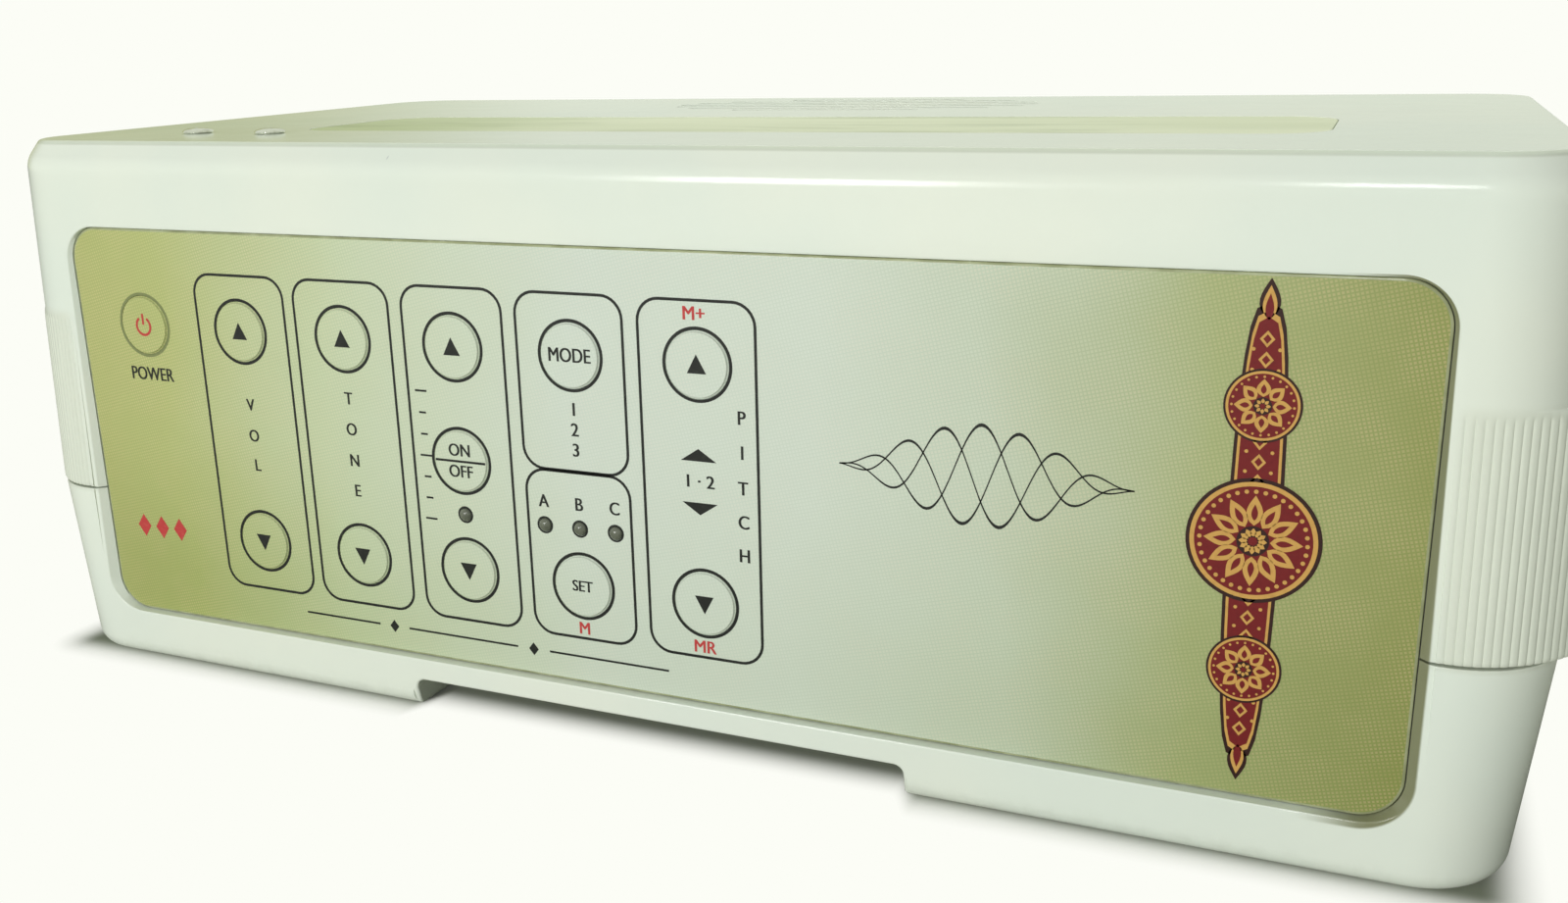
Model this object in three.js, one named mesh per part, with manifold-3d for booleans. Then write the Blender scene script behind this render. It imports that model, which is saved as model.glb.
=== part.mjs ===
// Electronic tanpura: a table-top drone box with twelve push keys in its front panel.
// Millimetres. X runs to the right, Y to the back, Z up.
// The origin lies on the table under the middle of the case.

import * as THREE from "three";
import { mergeVertices } from "three/addons/utils/BufferGeometryUtils.js";
import Module from "manifold-3d";

const wasm = await Module();
wasm.setup();

// Shared clearances
const fitGap = 0.3;
const cutOverrun = 3;
const weldTolerance = 0.0001;

// Keys: six columns counted from the right, with a row at the top and one at the bottom
const keyColumns = 6;
const keyColumnPitch = 21.2;
const keyRowPitch = 36.8;
const keyRadius = 5.2;
const keyDomeRise = 0.5;
const keyRimStep = 0.9;
const keyStemRadius = 1.5;
const keyTravel = 0.7;
const keySpareTravel = 0.2;

// Front label film and the window round it
const labelLeftMargin = 14.7;
const labelRightZone = 98.4;
const labelRowMargin = 16.6;
const labelBottom = 9.2;
const labelRadius = 6;
const labelRecess = 1.4;
const filmThickness = 0.6;
const pitchColumnX = 11.2;

// Stiff panel behind the film, with its key board
const panelMargin = 2.2;
const panelThickness = 2;
const panelPostRadius = 2.4;
const panelPostRise = 5;
const panelPostColumnShare = 0.5;
const switchSize = 6;
const switchHeight = 3.5;
const keyBoardMarginX = 8.8;
const keyBoardMarginZ = 7.6;
const boardThickness = 1.6;

// Signal lamps
const lampRadius = 1.5;
const lampSetback = 0.1;
const lampFlange = 0.2;
const lampFlangeLength = 1;
const lampPitch = 6.3;
const lampDrop = 8.95;

// Case
const labelSideMargin = 16.45;
const browHeight = 14.2;
const wall = 2.5;
const cornerRadius = 13;
const seamHeight = 32;
const roofRise = 3;
const roofSideLean = 1.3;
const roofFrontLean = 1.1;
const shoulderIn = 2.4;
const shoulderDrop = 3.4;
const baseSideLean = 2.9;
const baseFrontLean = 0.2;
const baseEdgeIn = 3.6;
const baseEdgeDrop = 4.5;
const gripProud = 2.5;
const gripBury = 0.3;
const gripHeight = 32;
const gripShoulder = 1.8;
const lipThickness = 1.2;
const lipHeight = 2;
const lipRoot = 3;

// Underside: two long feet, the arch between them and the battery door's channel
const archHeight = 5.2;
const archCornerRadius = 1.5;
const bayRim = 2.5;
const railDepth = 1.5;
const railBacking = 3.5;
const doorThickness = 1.8;
const doorPlay = 0.2;
const doorLead = 1.5;
const ridgeCount = 3;
const ridgeLength = 30;
const ridgeWidth = 1.2;
const ridgeHeight = 0.7;
const ridgePitch = 3;
const ridgeInset = 6;

// Cells and their bay
const cellDiameter = 26.2;
const cellLength = 50;
const cellColumns = 3;
const cellRows = 2;
const cellSpacing = 0.6;
const cellNubRadius = 3.4;
const cellNubHeight = 1.5;
const cellEdge = 1.2;
const bayWall = 1.6;
const bayFrontGap = 3.8;
const bayRearGap = 0.8;
const contactThickness = 0.8;
const contactMargin = 3;
const contactHeightShare = 0.8;

// Screws
const caseScrewInsetX = 14;
const caseScrewInsetY = 18;
const postRadius = 5;
const bossRadius = 4;
const caseScrewShaft = 1.5;
const caseScrewHead = 3.2;
const caseScrewHeadHeight = 2.4;
const caseScrewBite = 12;
const postCap = 14;
const smallScrewShaft = 1.2;
const smallScrewHead = 2.4;
const smallScrewHeadHeight = 1.5;
const screwTip = 1.2;
const screwTipShare = 0.35;
const headRimShare = 0.35;

// Main board in the left chamber, with the two rear sockets
const mainBoardRise = 11.2;
const mainBoardClearance = 3.2;
const mainBoardBayClearance = 8.4;
const mainBoardFrontRoom = 26;
const mainBoardRearRoom = 4.5;
const mainBoardScrewInset = 4;
const standoffRadius = 3;
const chipWidth = 9;
const chipLength = 19;
const chipHeight = 2.6;
const connectorWidth = 18;
const connectorDepth = 4;
const connectorHeight = 5;
const ribbonWidth = 16;
const ribbonThickness = 0.7;
const ribbonDrop = 14.2;
const ribbonBendShare = 0.7;
const inletWidth = 9;
const inletHeight = 11;
const inletDepth = 13;
const inletBarrelRadius = 4;
const inletBoreRadius = 3.1;
const inletBoreDepth = 9;
const inletPinRadius = 1;
const outputWidth = 7;
const outputHeight = 7;
const outputDepth = 12;
const outputBarrelRadius = 3.2;
const outputBoreRadius = 1.8;
const outputBoreDepth = 9;
const socketSetback = 0.5;
const socketSpacingShare = 0.45;

// Roof: strip film, domed screws, sound slots
const stripWidth = 174;
const stripDepth = 34;
const stripRadius = 8;
const stripOffset = 6;
const stripFront = 27;
const stripThickness = 0.5;
const stripSetback = 0.1;
const domeScrewPitch = 16.3;
const domeScrewX = -87.7;
const domeScrewFront = 20;
const domeScrewHead = 3;
const domeScrewRise = 1;
const domeScrewShaft = 1.5;
const domeScrewReach = 7.5;
const slotCount = 7;
const slotPitch = 5.2;
const slotWidth = 2.2;
const slotFieldWidth = 76;
const slotFieldDepth = 36;

// Speaker under the slots
const speakerRearRoom = 28;
const flangeRim = 5;
const flangeDepthRim = 5.5;
const flangeRadius = 10;
const flangeThickness = 1.2;
const flangeDrop = 3.2;
const basketDepth = 15;
const basketWall = 1;
const magnetRadius = 15;
const magnetHeight = 10;
const coneWall = 0.8;
const coneDepth = 9;
const coneCapRadius = 6;
const coneCapRise = 3;
const surroundWidth = 3;
const surroundRise = 1.4;
const speakerBossRadius = 2.6;
const speakerScrewInsetX = 5.5;
const speakerScrewInsetY = 4.6;

// Amplifier hung from the two domed screws
const bracketMarginX = 7;
const bracketDepth = 14;
const bracketThickness = 1.5;
const bracketDrop = 31;
const ampBoardWidth = 36;
const ampBoardHeight = 26;
const ampBoardDrop = 10;
const ampChipWidth = 10;
const ampChipHeight = 15;
const ampChipDepth = 4.5;
const capacitorRadius = 5;
const capacitorLength = 12;
const ampPartsOffset = 9;
const leadRadius = 1;
const leadInset = 2.5;
const leadBow = 12;

// Roundness
const edgeSteps = 2;
const cornerSteps = 3;
const keySides = 16;
const cellSides = 16;
const screwSides = 8;
const smallHoleSides = 12;
const domeSteps = 2;
const ovalSides = 24;
const ribbonSteps = 8;
const leadSteps = 16;
const leadSides = 3;

// Sizes worked out from the ones above
const labelWidth = labelLeftMargin + (keyColumns - 1) * keyColumnPitch + labelRightZone;
const labelHeight = keyRowPitch + 2 * labelRowMargin;
const labelCentreX = pitchColumnX + labelRightZone - labelWidth / 2;
const labelCentreZ = labelBottom + labelHeight / 2;
const caseWidth = labelWidth + 2 * labelSideMargin;
const roofFrontHeight = labelBottom + labelHeight + browHeight;
const upperHeight = roofFrontHeight - seamHeight - fitGap / 2;

const bayWidth = cellColumns * (cellDiameter + cellSpacing) + cellSpacing;
const bayLength = cellRows * (cellLength + fitGap) + 2 * (contactThickness + 2 * fitGap);
const stemReach = fitGap + panelThickness + fitGap;
const keyBoardSetback = filmThickness + stemReach + keyTravel + keySpareTravel + switchHeight;
const keyStackDepth = labelRecess + keyBoardSetback + boardThickness;
const caseDepth = keyStackDepth + bayFrontGap + 2 * bayWall + bayLength + bayRearGap + wall;
const halfWidth = caseWidth / 2;
const halfDepth = caseDepth / 2;

const labelY = labelRecess - halfDepth;
const filmBackY = labelY + filmThickness;
const panelFrontY = filmBackY + fitGap;
const panelBackY = panelFrontY + panelThickness;
const keyBoardFrontY = labelY + keyBoardSetback;
const keyBoardBackY = keyBoardFrontY + boardThickness;
const bayFrontY = keyBoardBackY + bayFrontGap + bayWall;
const bayRearY = bayFrontY + bayLength;

const doorTop = archHeight + doorPlay + doorThickness;
const floorUnderside = doorTop + fitGap;
const bayHeight = doorTop + fitGap + cellDiameter + cellSpacing;
const archWidth = bayWidth + 2 * bayRim;
const doorWidth = archWidth + 2 * railDepth;
const channelWidth = doorWidth + 2 * fitGap;
const bridgeWidth = channelWidth + 2 * railBacking;
const bridgeTop = floorUnderside + bayWall;

const screwX = halfWidth - caseScrewInsetX;
const screwY = halfDepth - caseScrewInsetY;
const mainBoardTop = wall + mainBoardRise + fitGap + boardThickness;
const mainBoardLeft = postRadius + mainBoardClearance - screwX;
const mainBoardRight = -(bayWidth / 2 + bayWall + mainBoardBayClearance);
const mainBoardFront = mainBoardFrontRoom - halfDepth;
const mainBoardRear = halfDepth - wall - mainBoardRearRoom;
const mainBoardX = (mainBoardLeft + mainBoardRight) / 2;
const mainBoardY = (mainBoardFront + mainBoardRear) / 2;
const socketOffset = ((mainBoardRight - mainBoardLeft) * socketSpacingShare) / 2;

const slotFieldY = caseDepth - speakerRearRoom;
const flangeTop = -(wall + flangeDrop + fitGap);
const flangeWidth = slotFieldWidth + 2 * flangeRim;
const flangeDepth = slotFieldDepth + 2 * flangeDepthRim;
const speakerRatio = slotFieldWidth / slotFieldDepth;
const coneRadius = slotFieldDepth / 2;

const abs = { roughness: 0.32, metalness: 0 };
const paint = {
  shellWhite: new THREE.MeshStandardMaterial({ color: 0xdde6da, ...abs }),
  panelGrey: new THREE.MeshStandardMaterial({ color: 0x8f948e, roughness: 0.6, metalness: 0 }),
  film: new THREE.MeshStandardMaterial({ color: 0xb9c184, roughness: 0.38, metalness: 0 }),
  keyFilm: new THREE.MeshStandardMaterial({ color: 0xc4cb98, roughness: 0.35, metalness: 0 }),
  lamp: new THREE.MeshStandardMaterial({ color: 0x34352c, roughness: 0.15, metalness: 0 }),
  board: new THREE.MeshStandardMaterial({ color: 0x1f6b3a, roughness: 0.5, metalness: 0 }),
  chip: new THREE.MeshStandardMaterial({ color: 0x1b1b1c, roughness: 0.55, metalness: 0 }),
  ribbon: new THREE.MeshStandardMaterial({ color: 0x8d9296, roughness: 0.6, metalness: 0 }),
  steel: new THREE.MeshStandardMaterial({ color: 0xb9bcbf, roughness: 0.3, metalness: 1 }),
  aluminium: new THREE.MeshStandardMaterial({ color: 0xa9adb0, roughness: 0.4, metalness: 1 }),
  magnet: new THREE.MeshStandardMaterial({ color: 0x3b3b3e, roughness: 0.5, metalness: 0.4 }),
  cone: new THREE.MeshStandardMaterial({ color: 0x24221f, roughness: 0.9, metalness: 0 }),
  foam: new THREE.MeshStandardMaterial({ color: 0x17171a, roughness: 0.8, metalness: 0 }),
  cellJacket: new THREE.MeshStandardMaterial({ color: 0x27406e, roughness: 0.4, metalness: 0.2 }),
  socket: new THREE.MeshStandardMaterial({ color: 0x161617, roughness: 0.4, metalness: 0 }),
  lead: new THREE.MeshStandardMaterial({ color: 0x8c1d1a, roughness: 0.5, metalness: 0 }),
};

const tanpura = new THREE.Group();

// The roof's own frame: its origin is the middle of the front edge, its plane slopes up towards the back.
const roof = new THREE.Group();
roof.position.set(0, -halfDepth, roofFrontHeight);
roof.rotation.x = Math.atan2(roofRise, caseDepth);
roof.updateMatrix();
tanpura.add(roof);

function solidOf(geometry) {
  const bare = geometry.index ? geometry.toNonIndexed() : geometry.clone();
  bare.deleteAttribute("normal");
  bare.deleteAttribute("uv");
  const merged = mergeVertices(bare, weldTolerance);
  const vertProperties = merged.attributes.position.array;
  const triVerts = new Uint32Array(merged.index.array);
  return new wasm.Manifold(new wasm.Mesh({ numProp: 3, vertProperties, triVerts }));
}

function geometryOf(solid) {
  const { vertProperties, triVerts } = solid.getMesh();
  const geometry = new THREE.BufferGeometry();
  geometry.setAttribute("position", new THREE.BufferAttribute(vertProperties, 3));
  geometry.setIndex(new THREE.BufferAttribute(triVerts, 1));
  geometry.computeVertexNormals();
  return geometry;
}

const joined = (first, ...rest) => rest.reduce((whole, piece) => whole.add(solidOf(piece)), first);
const cutBy = (first, ...rest) => rest.reduce((whole, piece) => whole.subtract(solidOf(piece)), first);

function addPiece(name, geometry, material, parent = tanpura) {
  const piece = new THREE.Mesh(geometry, material);
  piece.name = name;
  parent.add(piece);
}

const addSolid = (name, solid, material, parent) => addPiece(name, geometryOf(solid), material, parent);

function roundedRect(width, height, radius) {
  const x = width / 2 - radius;
  const y = height / 2 - radius;
  const quarter = Math.PI / 2;
  return new THREE.Shape()
    .absarc(x, y, radius, 0, quarter)
    .absarc(-x, y, radius, quarter, 2 * quarter)
    .absarc(-x, -y, radius, 2 * quarter, 3 * quarter)
    .absarc(x, -y, radius, 3 * quarter, 4 * quarter);
}

function moved(shape, x, y) {
  const points = shape.getPoints(cornerSteps).map((point) => new THREE.Vector2(point.x + x, point.y + y));
  return new THREE.Shape(points);
}

function roundHole(x, y, radius) {
  const circle = new THREE.Path().absarc(x, y, radius, 0, 2 * Math.PI);
  return new THREE.Path(circle.getPoints(smallHoleSides / 2).slice(1));
}

const extruded = (shape, depth, curveSegments = cornerSteps) =>
  new THREE.ExtrudeGeometry(shape, { depth, bevelEnabled: false, curveSegments });

function box(xLow, xHigh, yLow, yHigh, zLow, zHigh) {
  const block = new THREE.BoxGeometry(xHigh - xLow, yHigh - yLow, zHigh - zLow);
  return block.translate((xLow + xHigh) / 2, (yLow + yHigh) / 2, (zLow + zHigh) / 2);
}

// A block round the point x, y that is as wide and deep as given, from zLow to zHigh.
const blockAt = (x, y, width, depth, zLow, zHigh) =>
  box(x - width / 2, x + width / 2, y - depth / 2, y + depth / 2, zLow, zHigh);

// A shape drawn in X and Z, extruded towards the front from the plane yBack.
const towardsFront = (shape, yBack, depth, curveSegments) =>
  extruded(shape, depth, curveSegments).rotateX(Math.PI / 2).translate(0, yBack, 0);

// A shape drawn in Y and Z, extruded along X.
function alongX(shape, xLow, xHigh) {
  const turn = new THREE.Matrix4().makeBasis(
    new THREE.Vector3(0, 1, 0),
    new THREE.Vector3(0, 0, 1),
    new THREE.Vector3(1, 0, 0),
  );
  return extruded(shape, xHigh - xLow).applyMatrix4(turn).translate(xLow, 0, 0);
}

// A turned piece from [radius, height] pairs listed upwards; its axis is Z, or Y where it lies.
function turned(profile, sides) {
  return new THREE.LatheGeometry(
    profile.map(([radius, height]) => new THREE.Vector2(radius, height)),
    sides,
  );
}

const stood = (geometry, x, y, z = 0) => geometry.rotateX(Math.PI / 2).translate(x, y, z);

const rod = (radius, low, high) => [
  [0, low],
  [radius, low],
  [radius, high],
  [0, high],
];

const uprightRod = (x, y, radius, zLow, zHigh, sides = smallHoleSides) =>
  stood(turned(rod(radius, zLow, zHigh), sides), x, y);

const lyingRod = (x, z, radius, yLow, yHigh, sides = smallHoleSides) =>
  turned(rod(radius, yLow, yHigh), sides).translate(x, 0, z);

// Quarter of a flat dome, from the apex out to the rim, as [radius, height] pairs.
function domeArc(radius, apex, rim) {
  return Array.from({ length: domeSteps + 1 }, (unused, step) => {
    const angle = (step / domeSteps) * (Math.PI / 2);
    return [radius * Math.sin(angle), rim + (apex - rim) * Math.cos(angle)];
  });
}

// A round-cornered block on the plane z = 0 whose walls lean in towards its top, with a shoulder
// round the top and a roof that rises towards the back.
function leaningBlock({ inset, height, leanX, leanY, shoulder, drop, rise }) {
  const x = halfWidth - inset;
  const y = halfDepth - inset;
  const shape = roundedRect(2 * x, 2 * y, cornerRadius - inset);
  const block = new THREE.ExtrudeGeometry(shape, {
    depth: height - drop + cutOverrun,
    bevelSize: shoulder,
    bevelThickness: drop,
    bevelOffset: -shoulder,
    bevelSegments: edgeSteps,
    curveSegments: cornerSteps,
  }).translate(0, 0, -cutOverrun);
  const places = block.attributes.position;
  for (let i = 0; i < places.count; i++) {
    const share = places.getZ(i) / height;
    const yLeant = places.getY(i) * (1 - (leanY * share) / y);
    places.setX(i, places.getX(i) * (1 - (leanX * share) / x));
    places.setY(i, yLeant);
    places.setZ(i, places.getZ(i) + (rise * share * (yLeant + halfDepth)) / caseDepth);
  }
  return cutBy(solidOf(block), box(-caseWidth, caseWidth, -caseDepth, caseDepth, -2 * caseDepth, 0));
}

function upperBlock(inset) {
  const height = upperHeight - inset;
  const lean = { leanX: roofSideLean, leanY: roofFrontLean, rise: roofRise };
  const block = leaningBlock({ inset, height, ...lean, shoulder: shoulderIn, drop: shoulderDrop });
  return block.translate([0, 0, seamHeight + fitGap / 2]);
}

function lowerBlock(inset) {
  const height = seamHeight - fitGap / 2 - inset;
  const lean = { leanX: baseSideLean, leanY: baseFrontLean, rise: 0 };
  const block = leaningBlock({ inset, height, ...lean, shoulder: baseEdgeIn, drop: baseEdgeDrop });
  return block.rotate([180, 0, 0]).translate([0, 0, seamHeight - fitGap / 2]);
}

// The grips: the lower part of both sides of the upper shell, thickened outwards.
function gripBlock() {
  const share = gripHeight / upperHeight;
  const lean = { leanX: roofSideLean * share, leanY: roofFrontLean * share, rise: 0 };
  const edge = { shoulder: gripShoulder, drop: gripShoulder };
  const block = leaningBlock({ inset: 0, height: gripHeight, ...lean, ...edge });
  const widened = (halfWidth + gripProud) / halfWidth;
  const narrowed = (halfDepth - gripBury) / halfDepth;
  return block.scale([widened, narrowed, 1]).translate([0, 0, seamHeight + fitGap / 2]);
}

const labelShape = (grown) =>
  moved(
    roundedRect(labelWidth + 2 * grown, labelHeight + 2 * grown, labelRadius + grown),
    labelCentreX,
    labelCentreZ,
  );

// What the front panel takes out of both shells: the window, its slanted edge and the panel's seat.
function windowCuts() {
  const chamfer = new THREE.ExtrudeGeometry(labelShape(0), {
    depth: cutOverrun,
    bevelSize: labelRecess,
    bevelThickness: labelRecess,
    bevelSegments: 1,
  })
    .rotateX(Math.PI / 2)
    .translate(0, labelY - labelRecess, 0);
  const hole = towardsFront(labelShape(0), panelBackY, caseDepth);
  const seatShape = labelShape(panelMargin + fitGap);
  const seat = towardsFront(seatShape, panelBackY + fitGap, panelThickness + 2 * fitGap);
  return [chamfer, hole, seat];
}

const keyX = (column) => pitchColumnX - column * keyColumnPitch;
const topRowZ = labelCentreZ + keyRowPitch / 2;
const bottomRowZ = labelCentreZ - keyRowPitch / 2;

const keys = [
  { name: "key_pitch_up", x: keyX(0), z: topRowZ },
  { name: "key_pitch_down", x: keyX(0), z: bottomRowZ },
  { name: "key_mode", x: keyX(1), z: topRowZ },
  { name: "key_note", x: keyX(1), z: bottomRowZ },
  { name: "key_fifth_up", x: keyX(2), z: topRowZ },
  { name: "key_fifth_on_off", x: keyX(2), z: labelCentreZ },
  { name: "key_fifth_down", x: keyX(2), z: bottomRowZ },
  { name: "key_tone_up", x: keyX(3), z: topRowZ },
  { name: "key_tone_down", x: keyX(3), z: bottomRowZ },
  { name: "key_volume_up", x: keyX(4), z: topRowZ },
  { name: "key_volume_down", x: keyX(4), z: bottomRowZ },
  { name: "key_power", x: keyX(5), z: topRowZ },
];

const lampZ = labelCentreZ - lampDrop;
const lamps = [
  { name: "lamp_fifth", x: keyX(2) },
  { name: "lamp_note_left", x: keyX(1) - lampPitch },
  { name: "lamp_note_middle", x: keyX(1) },
  { name: "lamp_note_right", x: keyX(1) + lampPitch },
];

const socketPlaces = {
  inlet: { x: mainBoardX - socketOffset, z: mainBoardTop + fitGap + inletHeight / 2 },
  output: { x: mainBoardX + socketOffset, z: mainBoardTop + fitGap + outputHeight / 2 },
};

function socketHoles() {
  const { inlet, output } = socketPlaces;
  const yLow = bayRearY;
  return [
    lyingRod(inlet.x, inlet.z, inletBarrelRadius + fitGap, yLow, caseDepth),
    lyingRod(output.x, output.z, outputBarrelRadius + fitGap, yLow, caseDepth),
  ];
}

const caseScrewPlaces = [
  [-screwX, -screwY],
  [screwX, -screwY],
  [-screwX, screwY],
  [screwX, screwY],
];

const speakerScrewPlaces = [-1, 1].flatMap((side) =>
  [-1, 1].map((end) => [
    side * (flangeWidth / 2 - speakerScrewInsetX),
    slotFieldY + end * (flangeDepth / 2 - speakerScrewInsetY),
  ]),
);

const domeScrewPlaces = [
  [domeScrewX - domeScrewPitch / 2, domeScrewFront],
  [domeScrewX + domeScrewPitch / 2, domeScrewFront],
];

const onRoof = (geometry) => geometry.applyMatrix4(roof.matrix);

// Sound slots: rows across the roof, each as long as the oval field is wide there.
function slotCuts() {
  return Array.from({ length: slotCount }, (unused, row) => {
    const offset = (row - (slotCount - 1) / 2) * slotPitch;
    const share = Math.sqrt(1 - ((2 * offset) / slotFieldDepth) ** 2);
    const slot = moved(roundedRect(slotFieldWidth * share, slotWidth, slotWidth / 2), 0, slotFieldY + offset);
    return onRoof(extruded(slot, 2 * wall + cutOverrun).translate(0, 0, -2 * wall));
  });
}

function roofCuts() {
  const seatShape = roundedRect(stripWidth + 2 * fitGap, stripDepth + 2 * fitGap, stripRadius + fitGap);
  const seatDepth = stripThickness + stripSetback + fitGap;
  const seat = extruded(moved(seatShape, stripOffset, stripFront + stripDepth / 2), cutOverrun + seatDepth);
  const screwHoles = domeScrewPlaces.map(([x, y]) =>
    onRoof(uprightRod(x, y, domeScrewShaft + fitGap, -2 * wall, cutOverrun)),
  );
  return [onRoof(seat.translate(0, 0, -seatDepth)), ...screwHoles, ...slotCuts()];
}

function speakerBosses() {
  return speakerScrewPlaces.map(([x, y]) =>
    onRoof(uprightRod(x, y, speakerBossRadius, flangeTop + fitGap, -wall / 2)),
  );
}

function speakerBossHoles() {
  return speakerScrewPlaces.map(([x, y]) =>
    onRoof(uprightRod(x, y, smallScrewShaft + fitGap, flangeTop - cutOverrun, -wall)),
  );
}

// Ribs behind the panel that keep it against the window, hung from the roof or stood on the floor.
function panelRibs(zLow, zHigh) {
  const y = panelBackY + fitGap;
  const reach = labelWidth / 2 - cornerRadius;
  return [labelCentreX - reach, labelCentreX + reach].map((x) =>
    box(x - bayWall / 2, x + bayWall / 2, y, y + panelThickness, zLow, zHigh),
  );
}

// The height of the middle of the roof's wall at a distance from the case's centre line.
const roofMiddle = (y) => roofFrontHeight - wall / 2 + (roofRise * (y + halfDepth)) / caseDepth;

function upperShell() {
  const bosses = caseScrewPlaces.map(([x, y]) =>
    uprightRod(x, y, bossRadius, seamHeight + fitGap / 2, roofMiddle(y)),
  );
  const bossHoles = caseScrewPlaces.map(([x, y]) =>
    uprightRod(x, y, caseScrewShaft + fitGap, 0, seamHeight + caseScrewBite + fitGap + screwTip),
  );
  const ribs = panelRibs(labelBottom + labelHeight - panelMargin, roofMiddle(panelBackY));
  const walls = upperBlock(0).add(gripBlock()).subtract(upperBlock(wall));
  const fitted = joined(walls, ...bosses, ...speakerBosses(), ...ribs);
  return cutBy(fitted, ...windowCuts(), ...roofCuts(), ...bossHoles, ...speakerBossHoles(), ...socketHoles());
}

// The arch between the feet, open at the front and back.
function archCut() {
  const shape = roundedRect(archWidth, 2 * archHeight, archCornerRadius);
  return towardsFront(shape, caseDepth, 2 * caseDepth);
}

// A ring that stands up inside the upper shell and keeps light and dust out of the seam.
function seamLip() {
  const inside = wall + fitGap + lipThickness;
  const root = flatRing(wall / 2, inside, seamHeight - lipRoot, seamHeight - fitGap / 2);
  return root.add(flatRing(wall + fitGap, inside, seamHeight - lipRoot, seamHeight + lipHeight));
}

function flatRing(outerInset, innerInset, zLow, zHigh) {
  const plan = (inset) => roundedRect(caseWidth - 2 * inset, caseDepth - 2 * inset, cornerRadius - inset);
  const outer = solidOf(extruded(plan(outerInset), zHigh - zLow).translate(0, 0, zLow));
  return cutBy(outer, extruded(plan(innerInset), 2 * caseDepth).translate(0, 0, -caseDepth));
}

const mainBoardScrewColumns = [mainBoardLeft + mainBoardScrewInset, mainBoardRight - mainBoardScrewInset];
const mainBoardScrewRows = [mainBoardFront + mainBoardScrewInset, mainBoardRear - inletDepth];
const mainBoardScrewPlaces = mainBoardScrewColumns.flatMap((x) => mainBoardScrewRows.map((y) => [x, y]));

function lowerShell() {
  const seamLow = seamHeight - fitGap / 2;
  const posts = caseScrewPlaces.map(([x, y]) => uprightRod(x, y, postRadius, wall / 2, seamLow));
  const standoffs = mainBoardScrewPlaces.map(([x, y]) =>
    uprightRod(x, y, standoffRadius, wall / 2, wall + mainBoardRise),
  );
  const bridge = solidOf(box(-bridgeWidth / 2, bridgeWidth / 2, -caseDepth, caseDepth, 0, bridgeTop));
  const bay = box(
    -bayWidth / 2 - bayWall,
    bayWidth / 2 + bayWall,
    bayFrontY - bayWall,
    bayRearY + bayWall,
    floorUnderside,
    bayHeight + bayWall,
  );
  const ribs = panelRibs(wall / 2, labelBottom + panelMargin + bayWall);
  const walls = lowerBlock(0).subtract(lowerBlock(wall)).add(bridge.intersect(lowerBlock(0))).add(seamLip());
  const fitted = joined(walls, bay, ...posts, ...standoffs, ...ribs);
  const bayRoom = box(-bayWidth / 2, bayWidth / 2, bayFrontY, bayRearY, 0, bayHeight);
  const channel = box(
    -channelWidth / 2,
    channelWidth / 2,
    bayFrontY - doorLead - fitGap,
    caseDepth,
    archHeight,
    floorUnderside,
  );
  const screwCuts = caseScrewPlaces.flatMap(([x, y]) => [
    uprightRod(x, y, caseScrewShaft + fitGap, -cutOverrun, seamHeight + cutOverrun),
    uprightRod(x, y, caseScrewHead + 2 * fitGap, -cutOverrun, seamHeight - postCap),
  ]);
  const standoffHoles = mainBoardScrewPlaces.map(([x, y]) =>
    uprightRod(x, y, smallScrewShaft + fitGap, wall, wall + mainBoardRise + cutOverrun),
  );
  const rooms = [archCut(), bayRoom, channel];
  return cutBy(fitted, ...windowCuts(), ...rooms, ...screwCuts, ...standoffHoles, ...socketHoles());
}

function frontPanel() {
  const plate = labelShape(panelMargin);
  keys.forEach(({ x, z }) => plate.holes.push(roundHole(x, z, keyRadius + 2 * fitGap)));
  lamps.forEach(({ x }) => plate.holes.push(roundHole(x, lampZ, lampRadius + fitGap)));
  const postColumns = [panelPostColumnShare, keyColumns - 1 - panelPostColumnShare];
  const posts = postColumns.flatMap((column) =>
    [topRowZ + panelPostRise, bottomRowZ - panelPostRise].map((z) => {
      const low = panelBackY - panelThickness / 2;
      return lyingRod(keyX(column), z, panelPostRadius, low, keyBoardFrontY - fitGap, screwSides);
    }),
  );
  return joined(solidOf(towardsFront(plate, panelBackY, panelThickness)), ...posts);
}

function panelOverlay() {
  const film = labelShape(-fitGap);
  keys.forEach(({ x, z }) => film.holes.push(roundHole(x, z, keyRadius + fitGap)));
  lamps.forEach(({ x }) => film.holes.push(roundHole(x, lampZ, lampRadius + fitGap)));
  return towardsFront(film, filmBackY, filmThickness);
}

// A key: a flat disc of the film with a raised dome, and the stem that reaches the switch behind it.
function keyDisc() {
  const dome = domeArc(keyRadius - keyRimStep, labelY - keyDomeRise, labelY);
  const stemEnd = filmBackY + stemReach;
  const profile = [
    ...dome,
    [keyRadius, labelY],
    [keyRadius, filmBackY],
    [keyStemRadius, filmBackY],
    [keyStemRadius, stemEnd],
    [0, stemEnd],
  ];
  return turned(profile, keySides);
}

function lampBody() {
  const front = labelY + lampSetback;
  const flangeFront = keyBoardFrontY - fitGap - lampFlangeLength;
  const profile = [
    ...domeArc(lampRadius, front, front + lampRadius),
    [lampRadius, flangeFront],
    [lampRadius + lampFlange, flangeFront],
    [lampRadius + lampFlange, keyBoardFrontY - fitGap],
    [0, keyBoardFrontY - fitGap],
  ];
  return turned(profile, screwSides);
}

const connectorZ = mainBoardTop + ribbonDrop;

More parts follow.
